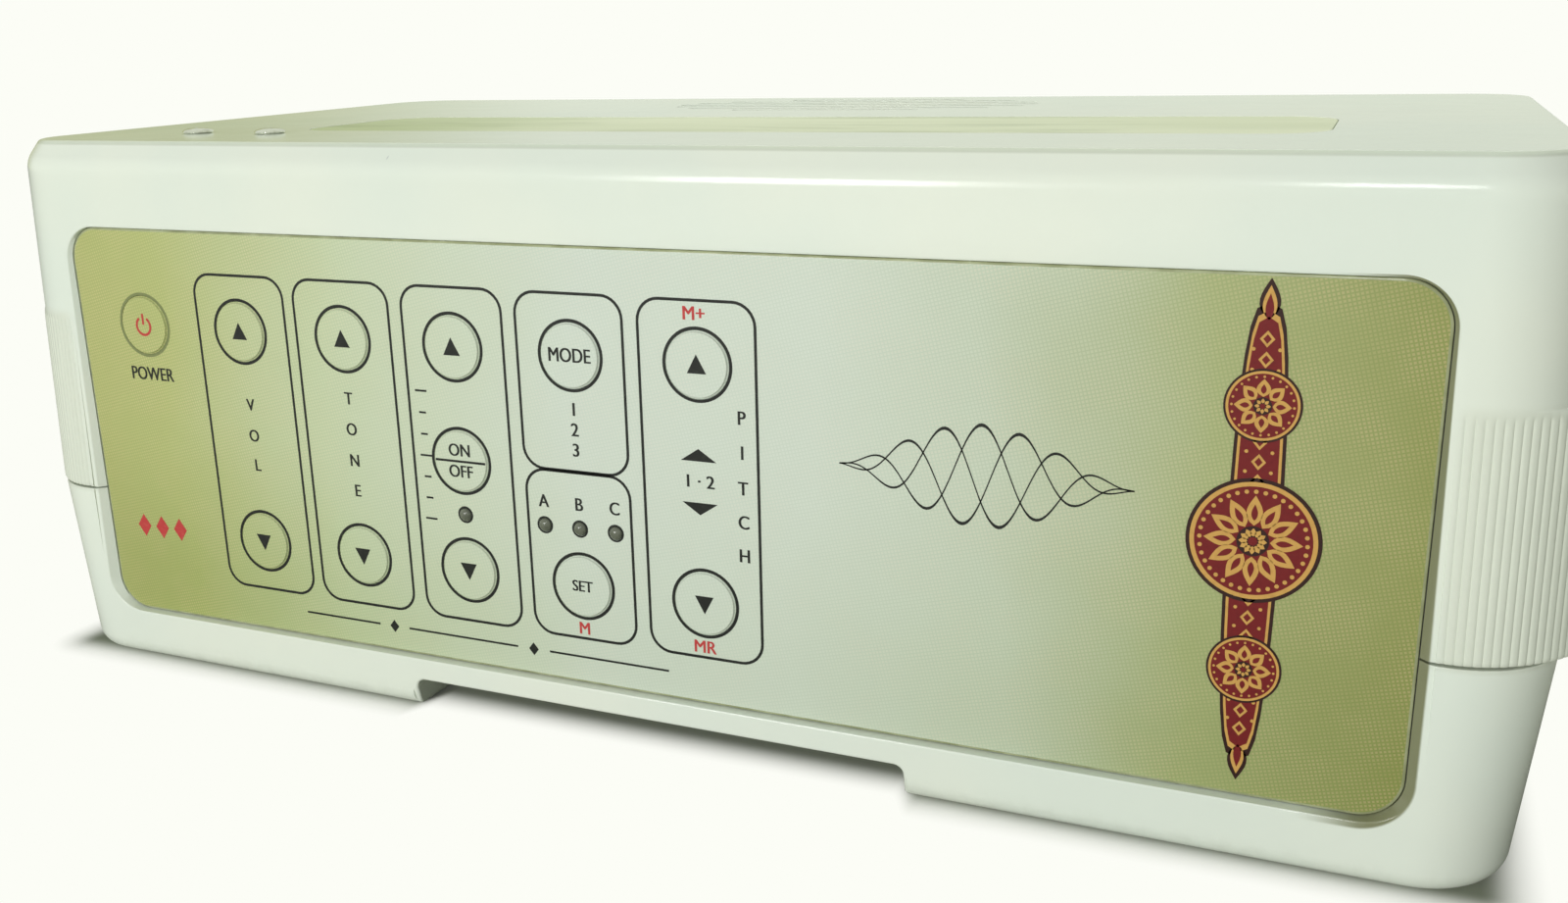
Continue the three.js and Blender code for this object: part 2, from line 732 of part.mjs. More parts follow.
function keyBoard() {
  const board = box(
    keyX(keyColumns - 1) - keyBoardMarginX,
    keyX(0) + keyBoardMarginX,
    keyBoardFrontY,
    keyBoardBackY,
    bottomRowZ - keyBoardMarginZ,
    topRowZ + keyBoardMarginZ,
  );
  const switchFront = keyBoardFrontY - switchHeight;
  const switches = keys.map(({ x, z }) =>
    box(
      x - switchSize / 2,
      x + switchSize / 2,
      switchFront,
      keyBoardFrontY + boardThickness / 2,
      z - switchSize / 2,
      z + switchSize / 2,
    ),
  );
  const connector = box(
    mainBoardX - connectorWidth / 2,
    mainBoardX + connectorWidth / 2,
    keyBoardBackY - boardThickness / 2,
    keyBoardBackY + connectorDepth,
    connectorZ - connectorHeight / 2,
    connectorZ + connectorHeight / 2,
  );
  return joined(solidOf(board), ...switches, connector);
}

// The flat cable leaves the key board backwards, drops, and enters the main board's connector backwards.
function keyRibbon() {
  const startY = keyBoardBackY + connectorDepth + fitGap;
  const endY = mainBoardFront + connectorDepth / 2 - fitGap;
  const endZ = mainBoardTop + connectorHeight / 2;
  const reach = (endY - startY) * ribbonBendShare;
  const curve = new THREE.CubicBezierCurve(
    new THREE.Vector2(startY, connectorZ),
    new THREE.Vector2(startY + reach, connectorZ),
    new THREE.Vector2(endY - reach, endZ),
    new THREE.Vector2(endY, endZ),
  );
  const steps = Array.from({ length: ribbonSteps + 1 }, (unused, step) => step / ribbonSteps);
  const edge = (side) =>
    steps.map((t) => {
      const { x, y } = curve.getTangent(t);
      const across = new THREE.Vector2(y, -x).multiplyScalar((side * ribbonThickness) / 2);
      return curve.getPoint(t).add(across);
    });
  const outline = new THREE.Shape([...edge(1), ...edge(-1).reverse()]);
  return alongX(outline, mainBoardX - ribbonWidth / 2, mainBoardX + ribbonWidth / 2);
}

function mainBoard() {
  const board = box(
    mainBoardLeft,
    mainBoardRight,
    mainBoardFront,
    mainBoardRear,
    mainBoardTop - boardThickness,
    mainBoardTop,
  );
  const connector = blockAt(
    mainBoardX,
    mainBoardFront + connectorDepth,
    connectorWidth,
    connectorDepth,
    mainBoardTop - boardThickness / 2,
    mainBoardTop + connectorHeight,
  );
  const holes = mainBoardScrewPlaces.map(([x, y]) =>
    uprightRod(x, y, smallScrewShaft + fitGap, 0, mainBoardTop + cutOverrun, screwSides),
  );
  return cutBy(joined(solidOf(board), connector), ...holes);
}

// A socket: a body on the main board's rear edge with a barrel through the rear wall and a bore.
function socket(place, width, height, depth, barrelRadius, boreRadius, boreDepth) {
  const mouth = halfDepth - socketSetback - baseFrontLean;
  const bodyRear = halfDepth - wall - baseFrontLean - fitGap;
  const body = box(
    place.x - width / 2,
    place.x + width / 2,
    bodyRear - depth,
    bodyRear,
    place.z - height / 2,
    place.z + height / 2,
  );
  const barrel = lyingRod(place.x, place.z, barrelRadius, bodyRear - depth / 2, mouth);
  const bore = lyingRod(place.x, place.z, boreRadius, mouth - boreDepth, mouth + cutOverrun);
  return cutBy(joined(solidOf(body), barrel), bore);
}

function dcInlet() {
  const { x, z } = socketPlaces.inlet;
  const mouth = halfDepth - socketSetback - baseFrontLean;
  const pin = lyingRod(x, z, inletPinRadius, mouth - inletBoreDepth - wall / 2, mouth - wall / 2);
  const shell = socket(
    socketPlaces.inlet,
    inletWidth,
    inletHeight,
    inletDepth,
    inletBarrelRadius,
    inletBoreRadius,
    inletBoreDepth,
  );
  return joined(shell, pin);
}

// A screw with its head's underside at zero and its shaft pointing up.
function screwGeometry(headRadius, headHeight, shaftRadius, length) {
  return turned(
    [
      ...domeArc(headRadius, -headHeight, -headHeight * headRimShare),
      [headRadius, 0],
      [shaftRadius, 0],
      [shaftRadius, length],
      [shaftRadius * screwTipShare, length + screwTip],
      [0, length + screwTip],
    ],
    screwSides,
  );
}

function cell(x, yRear) {
  const radius = cellDiameter / 2;
  const low = yRear - cellLength;
  const shoulderY = yRear - cellNubHeight;
  const profile = [
    [0, low],
    [radius - cellEdge, low],
    [radius, low + cellEdge],
    [radius, shoulderY - cellEdge],
    [radius - cellEdge, shoulderY],
    [cellNubRadius, shoulderY],
    [cellNubRadius, yRear],
    [0, yRear],
  ];
  const z = doorTop + fitGap + cellSpacing / 2 + radius;
  return turned(profile, cellSides).translate(x, 0, z);
}

function contactPlate(yLow) {
  const height = cellDiameter * contactHeightShare;
  const zLow = doorTop + fitGap + (cellDiameter - height) / 2;
  const halfPlate = bayWidth / 2 - contactMargin;
  return box(-halfPlate, halfPlate, yLow, yLow + contactThickness, zLow, zLow + height);
}

// The door slides out to the rear in its channel; low ridges near its rear end take a thumb.
function batteryDoor() {
  const low = archHeight + doorPlay;
  const rear = halfDepth - baseFrontLean - socketSetback;
  const slab = box(-doorWidth / 2, doorWidth / 2, bayFrontY - doorLead, rear, low, low + doorThickness);
  const ridges = Array.from({ length: ridgeCount }, (unused, ridge) => {
    const y = rear - ridgeInset - ridge * ridgePitch - ridgeWidth / 2;
    const top = low + doorThickness / 2;
    return blockAt(0, y, ridgeLength, ridgeWidth, low - ridgeHeight, top);
  });
  return joined(solidOf(slab), ...ridges);
}

// An oval turned piece: a round one stretched along X to the shape of the sound field, under the roof.
const oval = (profile) =>
  stood(turned(profile, ovalSides), 0, 0).scale(speakerRatio, 1, 1).translate(0, slotFieldY, 0);

function speakerBasket() {
  const plate = roundedRect(flangeWidth, flangeDepth, flangeRadius);
  const holeRadius = smallScrewShaft + fitGap;
  speakerScrewPlaces.forEach(([x, y]) => plate.holes.push(roundHole(x, y - slotFieldY, holeRadius)));
  const flangeSlab = extruded(plate, flangeThickness).translate(0, slotFieldY, flangeTop - flangeThickness);
  const low = flangeTop - basketDepth;
  const rimZ = flangeTop - 2 * flangeThickness;
  const backRadius = magnetRadius / speakerRatio + basketWall;
  const bowl = oval([
    [0, low],
    [backRadius, low],
    [coneRadius + basketWall, rimZ],
    [coneRadius + basketWall, flangeTop - flangeThickness / 2],
    [0, flangeTop - flangeThickness / 2],
  ]);
  const room = oval([
    [0, low + basketWall],
    [backRadius - basketWall, low + basketWall],
    [coneRadius, rimZ],
    [coneRadius, flangeTop + cutOverrun],
    [0, flangeTop + cutOverrun],
  ]);
  const ventLow = low + basketWall;
  const vents = [-1, 1].map((side) =>
    blockAt(side * coneRadius, slotFieldY, coneRadius / 2, caseDepth, ventLow, low + basketDepth / 2),
  );
  return cutBy(joined(solidOf(flangeSlab), bowl), room, ...vents);
}

function speakerSurround() {
  const outer = coneRadius - fitGap;
  const inner = outer - surroundWidth;
  const low = flangeTop - flangeThickness;
  const arc = Array.from({ length: 2 * domeSteps + 1 }, (unused, step) => {
    const angle = (step / (2 * domeSteps)) * Math.PI;
    const middle = (outer + inner) / 2;
    const rise = flangeThickness / 2 + surroundRise * Math.sin(angle);
    return [middle + (surroundWidth / 2) * Math.cos(angle), low + rise];
  });
  return oval([[inner, low], [outer, low], ...arc, [inner, low]]);
}

function speakerCone() {
  const rim = coneRadius - 2 * fitGap - surroundWidth;
  const top = flangeTop - flangeThickness / 2;
  const low = top - coneDepth;
  const throat = coneCapRadius / speakerRatio;
  const cap = domeArc(throat, low + coneCapRise, low + coneWall).reverse();
  return oval([
    [0, low - coneWall],
    [throat, low - coneWall],
    [rim, top - coneWall],
    [rim, top],
    ...cap,
  ]);
}

function ampBracket() {
  const rear = domeScrewFront + bracketDepth / 2;
  const front = rear - bracketDepth;
  const top = -wall - fitGap;
  const angle = new THREE.Shape()
    .moveTo(front, top)
    .lineTo(front, top - bracketThickness)
    .lineTo(rear - bracketThickness, top - bracketThickness)
    .lineTo(rear - bracketThickness, top - bracketDrop)
    .lineTo(rear, top - bracketDrop)
    .lineTo(rear, top);
  const reach = domeScrewPitch / 2 + bracketMarginX;
  const holes = domeScrewPlaces.map(([x, y]) =>
    uprightRod(x, y, domeScrewShaft + fitGap, -2 * wall - cutOverrun, 0, screwSides),
  );
  return cutBy(solidOf(alongX(angle, domeScrewX - reach, domeScrewX + reach)), ...holes);
}

const ampBoardY = domeScrewFront + bracketDepth / 2 + fitGap;
const ampRearY = ampBoardY + boardThickness + fitGap;
const ampBoardTop = -wall - fitGap - ampBoardDrop;
const ampCentreZ = ampBoardTop - ampBoardHeight / 2;

function ampBoard() {
  const half = ampBoardWidth / 2;
  return box(
    domeScrewX - half,
    domeScrewX + half,
    ampBoardY,
    ampBoardY + boardThickness,
    ampBoardTop - ampBoardHeight,
    ampBoardTop,
  );
}

function ampChip() {
  const x = domeScrewX - ampPartsOffset;
  return box(
    x - ampChipWidth / 2,
    x + ampChipWidth / 2,
    ampRearY,
    ampRearY + ampChipDepth,
    ampCentreZ - ampChipHeight / 2,
    ampCentreZ + ampChipHeight / 2,
  );
}

// The speaker's lead hangs from the amplifier board to the nearer end of the basket.
function speakerLead() {
  const speakerEnd = -(flangeWidth / 2) + speakerScrewInsetX;
  const startX = domeScrewX + ampBoardWidth / 2 - leadInset;
  const low = ampBoardTop - ampBoardHeight;
  const endY = slotFieldY - flangeDepth / 4;
  const endZ = flangeTop - flangeThickness - fitGap - leadRadius;
  const route = new THREE.CatmullRomCurve3([
    new THREE.Vector3(startX, ampRearY + leadRadius, ampBoardTop - leadRadius),
    new THREE.Vector3(startX, ampRearY + leadBow, (ampBoardTop + ampCentreZ) / 2),
    new THREE.Vector3((startX + speakerEnd) / 2, (ampRearY + endY) / 2, low),
    new THREE.Vector3(speakerEnd - leadBow, endY, endZ - coneDepth),
    new THREE.Vector3(speakerEnd, endY, endZ),
  ]);
  const section = new THREE.Shape().absarc(0, 0, leadRadius, 0, 2 * Math.PI);
  const steps = { steps: leadSteps, curveSegments: leadSides };
  return new THREE.ExtrudeGeometry(section, { ...steps, extrudePath: route });
}

function buildCase() {
  addSolid("upper_shell", upperShell(), paint.shellWhite);
  addSolid("lower_shell", lowerShell(), paint.shellWhite);
  addSolid("battery_door", batteryDoor(), paint.shellWhite);
  const screw = () =>
    screwGeometry(caseScrewHead, caseScrewHeadHeight, caseScrewShaft, postCap + caseScrewBite);
  caseScrewPlaces.forEach(([x, y], index) => {
    const piece = stood(screw(), x, y, seamHeight - postCap - fitGap);
    addPiece(`case_screw_${index + 1}`, piece, paint.steel);
  });
}

function buildPanel() {
  addSolid("front_panel", frontPanel(), paint.panelGrey);
  addPiece("panel_overlay", panelOverlay(), paint.film);
  addSolid("key_board", keyBoard(), paint.board);
  addPiece("key_ribbon", keyRibbon(), paint.ribbon);
  for (const { name, x, z } of keys) addPiece(name, keyDisc().translate(x, 0, z), paint.keyFilm);
  for (const { name, x } of lamps) addPiece(name, lampBody().translate(x, 0, lampZ), paint.lamp);
}

// The line output's plain socket.
function lineOut() {
  return socket(
    socketPlaces.output,
    outputWidth,
    outputHeight,
    outputDepth,
    outputBarrelRadius,
    outputBoreRadius,
    outputBoreDepth,
  );
}

function buildMainBoard() {
  addSolid("main_board", mainBoard(), paint.board);
  const chipBase = mainBoardTop + fitGap;
  const chip = blockAt(mainBoardX, mainBoardY, chipWidth, chipLength, chipBase, chipBase + chipHeight);
  addPiece("sound_chip", chip, paint.chip);
  addSolid("dc_inlet", dcInlet(), paint.socket);
  addSolid("line_out", lineOut(), paint.socket);
  mainBoardScrewPlaces.forEach(([x, y], index) => {
    const screw = screwGeometry(smallScrewHead, smallScrewHeadHeight, smallScrewShaft, mainBoardRise / 2);
    const piece = screw.rotateX(Math.PI);
    addPiece(`board_screw_${index + 1}`, stood(piece, x, y, mainBoardTop + fitGap), paint.steel);
  });
}

function buildBattery() {
  const pitch = cellDiameter + cellSpacing;
  const firstRear = bayFrontY + contactThickness + 2 * fitGap + cellLength;
  for (let row = 0; row < cellRows; row++) {
    for (let column = 0; column < cellColumns; column++) {
      const x = (column - (cellColumns - 1) / 2) * pitch;
      const piece = cell(x, firstRear + row * (cellLength + fitGap));
      addPiece(`cell_${row * cellColumns + column + 1}`, piece, paint.cellJacket);
    }
  }
  addPiece("contact_plate_front", contactPlate(bayFrontY + fitGap), paint.steel);
  addPiece("contact_plate_rear", contactPlate(bayRearY - fitGap - contactThickness), paint.steel);
}

function buildRoof() {
  const strip = extruded(roundedRect(stripWidth, stripDepth, stripRadius), stripThickness);
  strip.translate(stripOffset, stripFront + stripDepth / 2, -stripSetback - stripThickness);
  addPiece("roof_strip", strip, paint.film, roof);
  domeScrewPlaces.forEach(([x, y], index) => {
    const screw = turned(
      [
        [0, -domeScrewReach],
        [domeScrewShaft, -domeScrewReach],
        [domeScrewShaft, fitGap],
        [domeScrewHead, fitGap],
        ...domeArc(domeScrewHead, fitGap + domeScrewRise, fitGap + domeScrewRise * headRimShare).reverse(),
      ],
      cellSides,
    );
    addPiece(`roof_screw_${index + 1}`, stood(screw, x, y), paint.shellWhite, roof);
  });
}

function buildSpeaker() {
  const low = flangeTop - basketDepth - fitGap;
  addSolid("speaker_basket", speakerBasket(), paint.steel, roof);
  addPiece("speaker_cone", speakerCone(), paint.cone, roof);
  addPiece("speaker_surround", speakerSurround(), paint.foam, roof);
  const magnet = uprightRod(0, slotFieldY, magnetRadius, low - magnetHeight, low, ovalSides);
  addPiece("speaker_magnet", magnet, paint.magnet, roof);
  speakerScrewPlaces.forEach(([x, y], index) => {
    const screw = screwGeometry(smallScrewHead, smallScrewHeadHeight, smallScrewShaft, flangeDrop);
    const piece = stood(screw, x, y, flangeTop - flangeThickness - fitGap);
    addPiece(`speaker_screw_${index + 1}`, piece, paint.steel, roof);
  });
}

function buildAmplifier() {
  addSolid("amp_bracket", ampBracket(), paint.aluminium, roof);
  addPiece("amp_board", ampBoard(), paint.board, roof);
  addPiece("amp_chip", ampChip(), paint.chip, roof);
  const capacitor = lyingRod(
    domeScrewX + ampPartsOffset / 2,
    ampCentreZ,
    capacitorRadius,
    ampRearY,
    ampRearY + capacitorLength,
  );
  addPiece("amp_capacitor", capacitor, paint.chip, roof);
  addPiece("speaker_lead", speakerLead(), paint.lead, roof);
}

buildCase();
buildPanel();
buildMainBoard();
buildBattery();
buildRoof();
buildSpeaker();
buildAmplifier();

export default tanpura;
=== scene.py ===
# Electronic tanpura: a table-top drone box with twelve push keys in its front panel.
import math

import bmesh
import bpy
from mathutils import Euler, Matrix, Vector


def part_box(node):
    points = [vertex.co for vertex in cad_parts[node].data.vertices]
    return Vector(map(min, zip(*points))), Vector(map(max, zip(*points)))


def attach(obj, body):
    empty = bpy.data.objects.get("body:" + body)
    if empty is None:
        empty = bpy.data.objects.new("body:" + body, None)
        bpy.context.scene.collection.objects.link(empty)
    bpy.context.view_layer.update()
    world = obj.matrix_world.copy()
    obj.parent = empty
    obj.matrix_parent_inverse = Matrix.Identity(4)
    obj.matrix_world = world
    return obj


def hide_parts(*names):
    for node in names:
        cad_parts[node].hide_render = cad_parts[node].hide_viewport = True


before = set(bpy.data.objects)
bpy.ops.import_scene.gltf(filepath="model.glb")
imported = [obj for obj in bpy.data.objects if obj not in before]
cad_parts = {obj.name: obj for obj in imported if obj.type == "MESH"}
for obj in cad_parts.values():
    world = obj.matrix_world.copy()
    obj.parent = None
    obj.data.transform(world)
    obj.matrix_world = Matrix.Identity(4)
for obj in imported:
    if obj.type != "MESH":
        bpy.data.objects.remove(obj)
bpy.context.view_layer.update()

scene = bpy.context.scene
mm = 0.001  # lengths below are millimetres, meshes are metres


def nodeBox(node):
    low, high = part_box(node)
    return Vector(low) / mm, Vector(high) / mm


def nodeMiddle(node):
    return [(low + high) / 2 for low, high in zip(*nodeBox(node))]


def numbered(name, count):
    return ["%s_%d" % (name, i + 1) for i in range(count)]


# Measures of the case that its finish needs too

case = {
    "halfWidth": 126.0,
    "halfDepth": 62.15,
    "corner": 13,
    "wall": 2.5,
    "seam": 32,
    "seamGap": 0.3,
    "frontHeight": 93.4,
    "roofRise": 3,  # from its front to its back
    "lean": (1.3, 1.1),  # how far the upper walls lean in, at the ends and at the front
    "baseLean": (2.9, 0.2),
    "shoulder": (2.4, 3.4),  # in and down
    "baseEdge": (2.5, 3.0),  # in and up
    "edge": 0.45,  # the rounding of openings
    "gripProud": 2.5,
    "gripTop": 64,
    "gripRound": 2.4,
    "gripStart": 111.2,  # along the plan's edge, from the middle of the front
    "reedPitch": 1.08,
    "reedDepth": 0.13,
    "label": (0.05, 44.2, 109.55, 35.0, 6.0),  # middle x and z, half sizes, corner radius
    "labelY": -60.75,
}
slots = {"count": 7, "pitch": 5.2, "width": 2.2, "deep": 6, "mouth": 0.05}
slots.update({"fieldWidth": 76, "fieldDepth": 36, "middle": 96.3})  # from the front edge
upperLow = case["seam"] + case["seamGap"] / 2
upperHigh = case["frontHeight"] - upperLow
lowerHigh = case["seam"] - case["seamGap"] / 2


# Node trees


class Wire:  # an output socket; arithmetic on it adds Math nodes
    def __init__(self, nodes, socket):
        self.nodes = nodes
        self.socket = socket

    def out(self, name):
        return Wire(self.nodes, self.socket.node.outputs[name])

    def math(self, operation, *others):
        values = dict(enumerate((self, *others)))
        return self.nodes.add("ShaderNodeMath", {"operation": operation}, values)

    def reflected(self, operation, other):
        return self.nodes.add("ShaderNodeMath", {"operation": operation}, {0: other, 1: self})

    def __add__(self, other):
        return self.math("ADD", other)

    def __sub__(self, other):
        return self.math("SUBTRACT", other)

    def __rsub__(self, other):
        return self.reflected("SUBTRACT", other)

    def __mul__(self, other):
        return self.math("MULTIPLY", other)

    def __truediv__(self, other):
        return self.math("DIVIDE", other)

    def __rtruediv__(self, other):
        return self.reflected("DIVIDE", other)

    def __pow__(self, other):
        return self.math("POWER", other)

    def __abs__(self):
        return self.math("ABSOLUTE")

    __radd__ = __add__
    __rmul__ = __mul__

    def sine(self):
        return self.math("SINE")

    def atLeast(self, low):
        return self.math("MAXIMUM", low)

    def between(self, low, high):  # 0 below low, 1 above high, smooth between
        values = {"Value": self, "From Min": low, "From Max": high}
        return self.nodes.add("ShaderNodeMapRange", {"interpolation_type": "SMOOTHSTEP"}, values)

    def band(self, low, full, fading, high):  # rises from low to full and falls from fading to high
        return self.between(low, full) * (1 - self.between(fading, high))


class Nodes:  # adds nodes to one tree
    def __init__(self, tree):
        self.tree = tree

    def add(self, kind, settings=None, inputs=None, output=0):
        node = self.tree.nodes.new(kind)
        for name, value in (settings or {}).items():
            if name == "stops":
                self.setStops(node.color_ramp, value)
            else:
                setattr(node, name, value)
        for name, value in (inputs or {}).items():
            self.plug(node.inputs[name], value)
        return Wire(self, node.outputs[output]) if node.outputs else node

    def plug(self, socket, value):
        if isinstance(value, Wire):
            self.tree.links.new(value.socket, socket)
        else:
            socket.default_value = value

    def setStops(self, ramp, stops):
        while len(ramp.elements) < len(stops):
            ramp.elements.new(0.5)
        for element, (place, colour) in zip(ramp.elements, stops):
            element.position = place
            element.color = colour

    def axes(self, place):
        x = self.add("ShaderNodeSeparateXYZ", {}, {0: place})
        return x, x.out("Y"), x.out("Z")

    def blend(self, share, first, second, kind="MIX"):
        settings = {"data_type": "RGBA", "blend_type": kind}
        return self.add("ShaderNodeMix", settings, {0: share, 6: first, 7: second}, 2)


class Finish(Nodes):  # a material; its place is the point on the piece in millimetres
    def __init__(self, name):
        self.material = bpy.data.materials.new(name)
        self.material.use_nodes = True
        super().__init__(self.material.node_tree)
        point = self.add("ShaderNodeTexCoord", output="Object")
        values = {0: point, "Scale": 1 / mm}
        self.place = self.add("ShaderNodeVectorMath", {"operation": "SCALE"}, values)

    def mapped(self, **values):
        return self.add("ShaderNodeMapping", {}, {"Vector": self.place, **values})

    def noise(self, scale, detail=2.0, roughness=0.5, place=None):
        values = {"Vector": place or self.place, "Scale": scale, "Detail": detail}
        return self.add("ShaderNodeTexNoise", {}, {**values, "Roughness": roughness})

    def close(self, colour, roughness, height, lift, **others):  # lift is the bump's height
        relief = {"Height": height, "Strength": 1.0, "Distance": lift * mm}
        bump = self.add("ShaderNodeBump", {}, relief)
        values = {"Base Color": colour, "Roughness": roughness, "Normal": bump}
        values.update((name.replace("_", " "), value) for name, value in others.items())
        shader = self.tree.nodes["Principled BSDF"]
        for name, value in values.items():
            self.plug(shader.inputs[name], value)
        return self.material


def paint(*levels):  # a screen colour, 0 to 255, as a linear one
    shares = [level / 255 for level in levels]
    return (*(c / 12.92 if c <= 0.04045 else ((c + 0.055) / 1.055) ** 2.4 for c in shares), 1)


# Finishes

shellLook = {
    "white": paint(230, 236, 222),
    "cool": paint(224, 233, 221),
    "nicks": (  # place, slant, tone
        ((-40.6, -60.6, 91.7), 0.4, paint(96, 104, 132)),
        ((84.4, 58.2, 96.3), 0, paint(60, 62, 54)),
    ),
    "recess": paint(133, 136, 105),  # the shaded rim round the film, at its right
    "recessWide": 1.15,  # at the seam
    "recessTaper": 0.017,
    "recessFrom": (96, 106),
    "recessBack": (-58, -56),
    "dust": paint(112, 118, 96),  # dust and painted shade on the walls of the roof's slots
    "slotDustShadeDepth": (0.012, 0.05, 2.2, 2.4),
    "slotDustShadeSpread": (0, 1),  # past the ends of the field
    "slotDustShadeAcross": (0.5, 1.5),
    "roofEdgeShade": paint(172, 181, 158),  # painted shade along the roof's front edge
    "roofEdgeShadeDepth": (0.02, 0.1, 0.45, 0.8),
    "roofEdgeShadeBack": (-58, -46),
    "grip": paint(216, 222, 206),  # painted shade on the grips at both ends
    "gripShadeFrom": (110, 113),
    "gripHeight": (31, 32, 63, 65),
    "grime": paint(150, 152, 132),
    "seamGrime": (0.15, 1.1),
    "footGrime": (0.2, 5),
}


def belowRoof(y, z):
    slope = case["roofRise"] / (2 * case["halfDepth"])
    return (y + case["halfDepth"]) * slope + case["frontHeight"] - z


# where painted shade lies on the rim round the film, at its right
def recessShadeShare(x, y, z, look):
    middleX, middleZ, halfW, halfH, radius = case["label"]
    across = (abs(x - middleX) - (halfW - radius)).atLeast(0)
    upward = (abs(z - middleZ) - (halfH - radius)).atLeast(0)
    outside = (across ** 2 + upward ** 2) ** 0.5 - radius
    wide = look["recessWide"] - (z - case["seam"]).atLeast(0) * look["recessTaper"]
    onRim = 1 - outside.between(wide * 0.8, wide * 1.15)
    return onRim * x.between(*look["recessFrom"]) * (1 - y.between(*look["recessBack"]))


# where dust and painted shade lie on the walls inside the roof's slots
def slotDustAndShadeShare(x, y, z, look):
    halfW, halfD = slots["fieldWidth"] / 2, slots["fieldDepth"] / 2
    across = abs(x).between(*[halfW + spread for spread in look["slotDustShadeSpread"]])
    middle = slots["middle"] - case["halfDepth"]
    along = abs(y - middle).between(*[halfD + spread for spread in look["slotDustShadeAcross"]])
    return belowRoof(y, z).band(*look["slotDustShadeDepth"]) * (1 - across) * (1 - along)


# where painted shade lies along the roof's front edge
def roofEdgeShadeShare(x, y, z, look):
    return belowRoof(y, z).band(*look["roofEdgeShadeDepth"]) * (1 - y.between(*look["roofEdgeShadeBack"]))


# where painted shade lies on the grips at both ends
def gripShadeShare(x, y, z, look):
    return abs(x).between(*look["gripShadeFrom"]) * z.band(*look["gripHeight"])


def shellPlastic(name, look):
    nodes = Finish(name)
    x, y, z = nodes.axes(nodes.place)
    cloud = nodes.noise(0.018, 3)
    grain = nodes.noise(2.4, 3, 0.6)
    colour = nodes.blend(cloud.between(0.35, 0.65), look["white"], look["cool"])
    for spot, slant, tone in look["nicks"]:
        across = (x - spot[0] - (z - spot[2]) * slant) * 3
        far = (across ** 2 + (y - spot[1]) ** 2 + (z - spot[2]) ** 2) ** 0.5
        colour = nodes.blend((1 - far.between(0.3, 0.75)) * 0.85, colour, tone)
    # painted shade on the rim round the film, at its right
    colour = nodes.blend(recessShadeShare(x, y, z, look), colour, look["recess"])
    # dust and painted shade inside the roof's slots, whose walls are unlit
    colour = nodes.blend(slotDustAndShadeShare(x, y, z, look) * 0.3, colour, look["dust"])
    # painted shade along the roof's front edge
    colour = nodes.blend(roofEdgeShadeShare(x, y, z, look) * 0.45, colour, look["roofEdgeShade"])
    # painted shade on the grips at both ends
    colour = nodes.blend(gripShadeShare(x, y, z, look) * (cloud * 0.5 + 0.5), colour, look["grip"])
    seam = 1 - abs(z - case["seam"]).between(*look["seamGrime"])
    foot = 1 - z.between(*look["footGrime"])
    dust = nodes.noise(0.35, 4, 0.65).between(0.4, 0.75)
    colour = nodes.blend((seam * 0.2 + foot * 0.16) * (dust * 0.7 + 0.3), colour, look["grime"])
    handling = nodes.noise(0.05, 4, 0.6)
    roughness = 0.1 + handling * 0.08 + grain * 0.04 + foot * 0.1
    peel = nodes.noise(0.9, 2) + grain * 0.35
    return nodes.close(colour, roughness, peel, 0.006, Coat_Weight=0.12, Coat_Roughness=0.12)


filmLook = {
    "stops": (  # tones from the film's left end to its right
        (0.0, paint(180, 184, 116)),
        (0.07, paint(184, 191, 124)),
        (0.25, paint(200, 212, 176)),
        (0.45, paint(211, 221, 209)),
        (0.62, paint(211, 221, 208)),
        (0.76, paint(201, 212, 192)),
        (0.88, paint(171, 180, 128)),
        (1.0, paint(147, 151, 86)),
    ),
    "low": (0.80, 0.84, 0.70, 1),  # what the tones are multiplied by at the bottom
    "high": (1, 1, 1, 1),
    "screenPitch": 0.52,
    "screenTurn": 15,
    "net": paint(116, 140, 78),
    "warm": paint(226, 196, 160),
    "paleMiddle": 0.52,
}


def printedFilm(name, look):
    nodes = Finish(name)
    x, y, z = nodes.axes(nodes.place)
    middleX, halfW = case["label"][0], case["label"][2]
    drift = nodes.noise(0.03, 2)
    across = (x - (middleX - halfW)) / (2 * halfW) + (drift - 0.5) * 0.09
    colour = nodes.add("ShaderNodeValToRGB", {"stops": look["stops"]}, {0: across})
    ends = abs(across - look["paleMiddle"]).between(0.05, 0.5)
    low = (1 - z.between(8, 52)) * (0.35 + ends * 0.65) * (1.2 - across * 0.5)
    shade = nodes.blend(low, look["high"], look["low"])
    colour = nodes.blend(1.0, colour, shade, "MULTIPLY")
    aslant = nodes.mapped(Rotation=(0, math.radians(look["screenTurn"]), 0))
    u, depth, v = nodes.axes(aslant)
    turn = 2 * math.pi / look["screenPitch"]
    net = (u * turn).sine().atLeast((v * turn).sine())
    patches = nodes.noise(0.14, 2)
    dots = nodes.noise(1.7, 2, 0.7)
    edge = ends * 0.6 + 0.4
    colour = nodes.blend(net.between(0.1, 0.95) * edge * 0.26, colour, look["net"])
    warm = (1 - net.between(-0.3, 0.6)) * (patches.between(0.3, 0.7) * 0.7 + 0.3)
    colour = nodes.blend(warm * edge * 0.26, colour, look["warm"])
    height = net * 0.5 + dots * 0.5
    rough = 0.3 + dots * 0.12
    return nodes.close(colour, rough, height, 0.008, Coat_Weight=0.25, Coat_Roughness=0.1)


